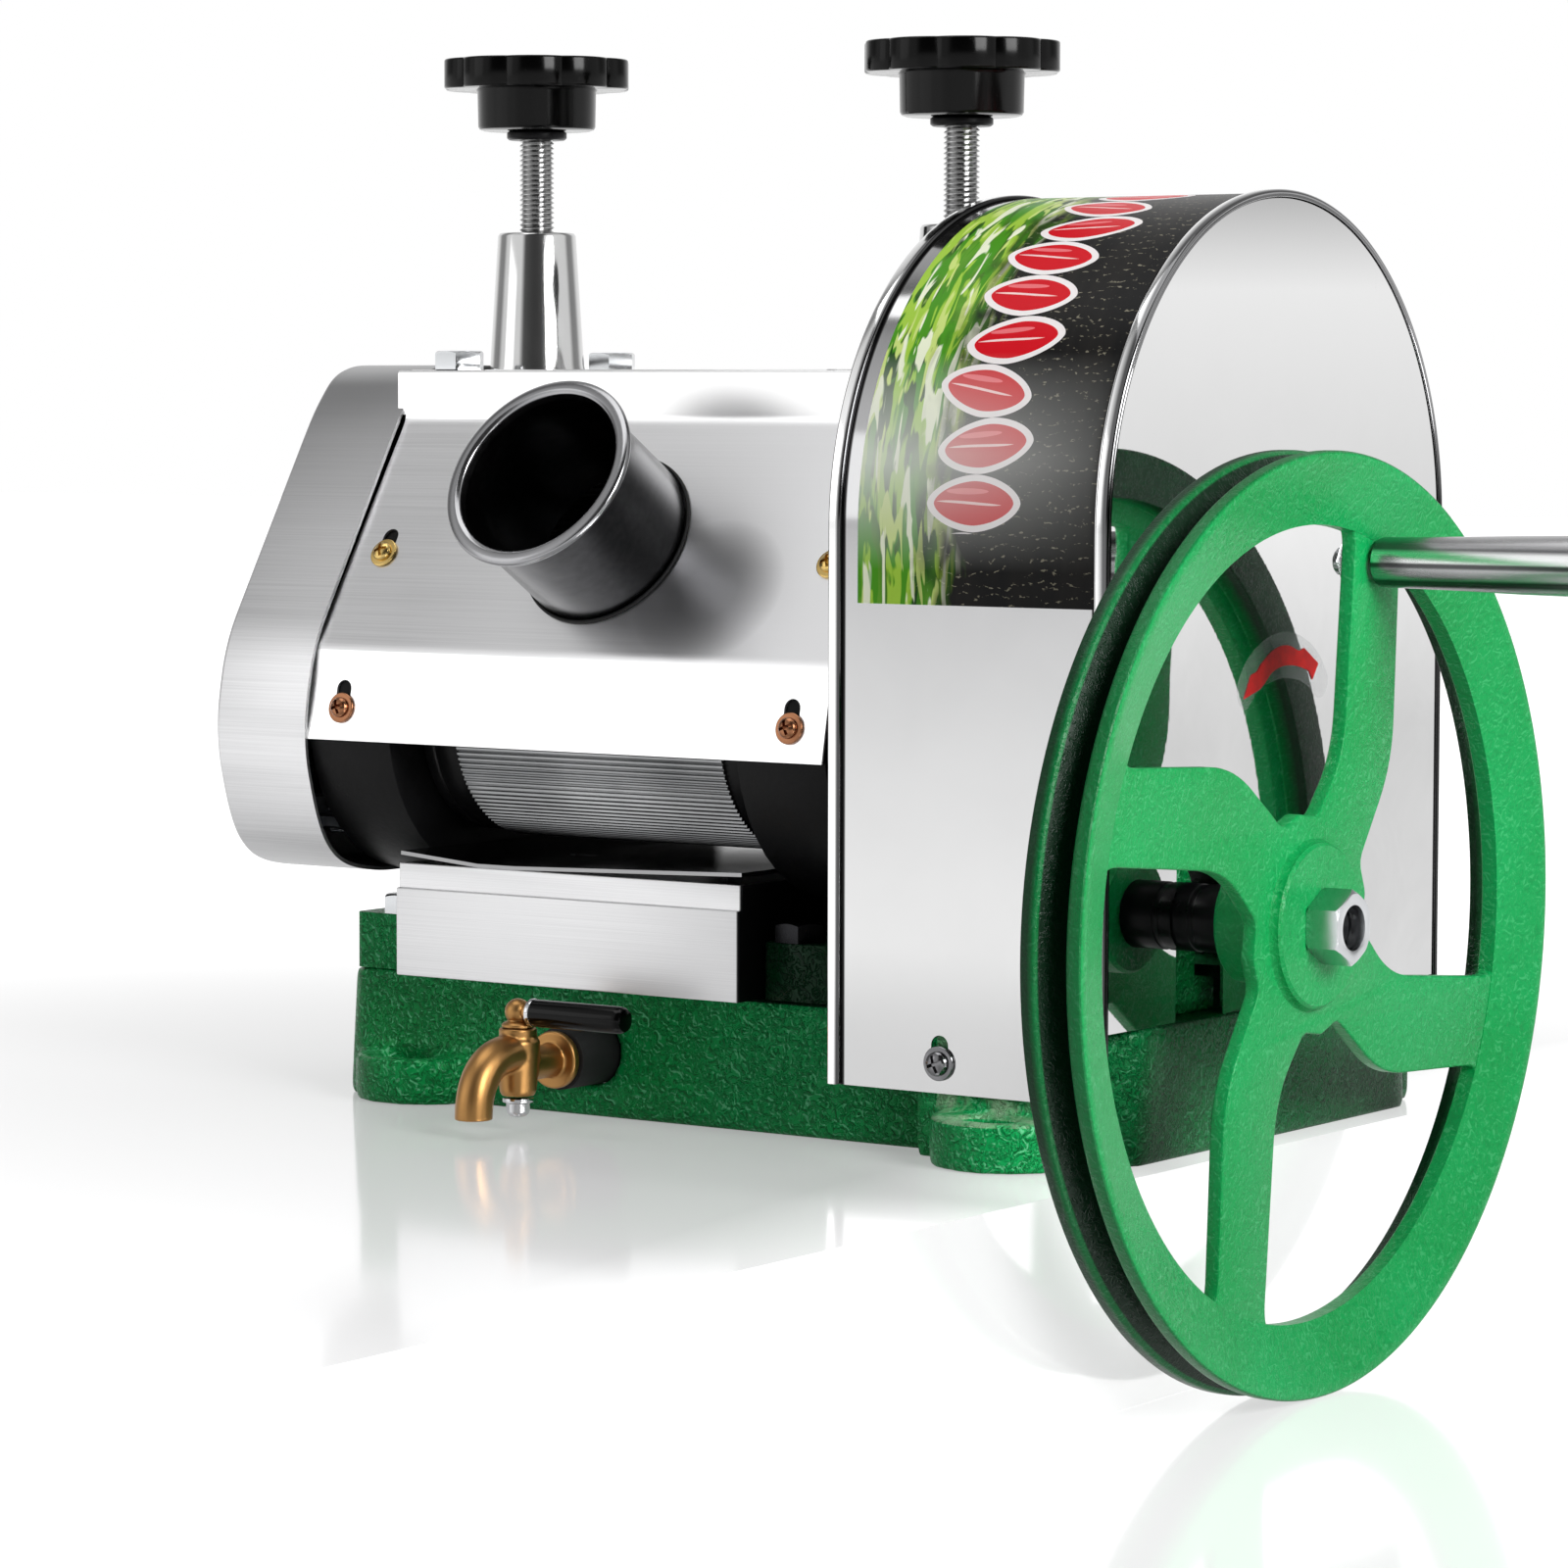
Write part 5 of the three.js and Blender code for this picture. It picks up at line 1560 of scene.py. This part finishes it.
retainer = turned(
    "tap_retaining_nut",
    [
        (0, 5),
        (2, 5.05),
        (3.4, 5.6),
        (4.2, 6.5),
        (4.5, 7.6),
        (4.5, 10.3),
        (5.9, 10.8),
        (6, 12.2),
        (5.8, 12.4),
        (0, 12.4),
    ],
    "Z",
    TAP,
    48,
    edge=0.15,
)
fitted(smoothed(retainer, 40), chrome, "tap", "zinc_steel", "tap_retaining_screw")


# Camera, floor and light

YAW = math.radians(35)
PITCH_DOWN = math.radians(4.25)
ROLL = math.radians(-0.12)
ahead_flat = Vector((-math.sin(YAW), math.cos(YAW), 0))
right = Vector((math.cos(YAW), math.sin(YAW), 0))
ahead = ahead_flat * math.cos(PITCH_DOWN) - Vector((0, 0, 1)) * math.sin(PITCH_DOWN)
up = ahead_flat * math.sin(PITCH_DOWN) + Vector((0, 0, 1)) * math.cos(PITCH_DOWN)
image_x = right * math.cos(ROLL) - up * math.sin(ROLL)
image_y = right * math.sin(ROLL) + up * math.cos(ROLL)
lens = bpy.data.cameras.new("studio_camera")
lens.lens = 120.375
lens.sensor_width = 36
lens.clip_start = 0.05
lens.clip_end = 60
camera = bpy.data.objects.new("studio_camera", lens)
bpy.context.scene.collection.objects.link(camera)
turn = Matrix((image_x, image_y, -ahead)).transposed().to_4x4()
camera.matrix_world = Matrix.Translation(Vector((1152.3, -1707.2, 277.4)) * MM) @ turn
bpy.context.scene.camera = camera


def floor_finish():
    """White floor that mirrors softly and keeps the shadow; it glows for the camera and for reflections,
    less near the object, for a painted shade round it, and more towards and past the bench edge.
    """
    f = Finish("pale_floor")
    mottle = f.noise(3.0, 2.0)
    sockets = {"Color": f.mixed(mottle, shade(240, 240, 241), shade(244, 244, 245))}
    skin = f.out(f.node("ShaderNodeBsdfDiffuse", None, sockets))
    sockets = {"Color": shade(255, 255, 255), "Roughness": 0.09 + mottle * 0.02}
    gloss = f.out(f.node("ShaderNodeBsdfGlossy", None, sockets))
    x, y, z = f.along()
    # Painted shade: the glow is weaker round the object and stronger from x 110 mm outwards.
    away = (x**2.0 + (y * 1.2) ** 2.0).rise(200.0**2, 900.0**2)
    edge = x.rise(110.0, 194.0) * 0.55
    path = f.node("ShaderNodeLightPath")
    seen = f.out(path, "Is Camera Ray") + f.out(path, "Is Glossy Ray") + f.out(path, "Is Transmission Ray")
    sockets = {"Color": (1, 1, 1, 1), "Strength": seen.least(1.0) * (0.24 + away.most(edge) * 0.42)}
    glow = f.out(f.node("ShaderNodeEmission", None, sockets))
    lit = f.out(f.node("ShaderNodeMixShader", None, {0: 0.58, 1: skin, 2: gloss}))
    dim = f.out(f.node("ShaderNodeMixShader", None, {0: 0.38, 1: lit, 2: glow}))
    both = f.node("ShaderNodeAddShader", None, {0: dim, 1: glow})
    return f.finished(both)


FLOOR_Z = -82.3
BENCH_EDGE = 195
floor_paint = floor_finish()
deselect()
bpy.ops.mesh.primitive_plane_add(size=24, location=(0, 0, FLOOR_Z * MM))
floor = bpy.context.object
floor.name = "floor"
floor.data.materials.append(floor_paint)
bench = block("bench_top", (-9000, -9000, FLOOR_Z + 0.1), (BENCH_EDGE, 9000, -0.2))
bench.data.materials.append(floor_paint)


def lamp(name, place, target, size, power):
    light = bpy.data.lights.new(name, "AREA")
    light.shape = "SQUARE"
    light.size = size
    light.energy = power
    holder = bpy.data.objects.new(name, light)
    bpy.context.scene.collection.objects.link(holder)
    holder.location = place
    aim = Vector(target) - Vector(place)
    holder.rotation_mode = "QUATERNION"
    holder.rotation_quaternion = aim.to_track_quat("-Z", "Y")
    return holder


lamp("key_right", (2.3, -0.7, 1.2), (0.1, 0, 0.15), 1.2, 70)
lamp("top_soft", (-0.3, -0.3, 2.2), (0, 0, 0.1), 1.4, 14)
lamp("fill_left", (-1.7, -2.0, 0.9), (0, 0, 0.15), 1.2, 4)


def studio():
    """White for the camera; reflections see light and dark walls, a greyer ceiling and a white floor."""
    f = Finish("studio", bpy.data.worlds.new("studio"))
    facing = f.node("ShaderNodeSeparateXYZ", None, {0: f.out(f.node("ShaderNodeTexCoord"))})
    x, y, z = (f.out(facing, k) for k in range(3))
    level = (x**2.0 + y**2.0) ** 0.5
    toward = (x * 0.56 + y * -0.83) / level.most(0.001)
    ramp = f.node("ShaderNodeValToRGB", None, {0: toward * 0.5 + 0.5})
    stops = (
        (0.0, 1.0),
        (0.1, 0.95),
        (0.2, 0.34),
        (0.34, 0.3),
        (0.44, 0.9),
        (0.86, 0.95),
        (0.92, 0.12),
        (1.0, 0.06),
    )
    while len(ramp.color_ramp.elements) < len(stops):
        ramp.color_ramp.elements.new(0.5)
    for element, (where, grey) in zip(ramp.color_ramp.elements, stops):
        element.position = where
        element.color = (grey, grey, grey, 1)
    overhead = 1.0 - z.rise(0.55, 0.95) * 0.58
    below = 1.0 - z.rise(0.02, 0.06)
    boxes = (f.out(ramp) * overhead).most(below * 0.9)
    path = f.node("ShaderNodeLightPath")
    open_view = f.out(path, "Is Camera Ray").most(f.out(path, "Is Transmission Ray"))

    def glowing(strength):
        return f.out(f.node("ShaderNodeBackground", None, {0: shade(255, 255, 255), 1: strength}))

    sockets = {0: f.out(path, "Is Glossy Ray"), 1: glowing(0.12), 2: glowing(boxes)}
    around = f.out(f.node("ShaderNodeMixShader", None, sockets))
    whole = f.node("ShaderNodeMixShader", None, {0: open_view, 1: around, 2: glowing(1.0)})
    return f.finished(whole, "ShaderNodeOutputWorld")


bpy.context.scene.world = studio()
bpy.context.scene.view_settings.view_transform = "Standard"
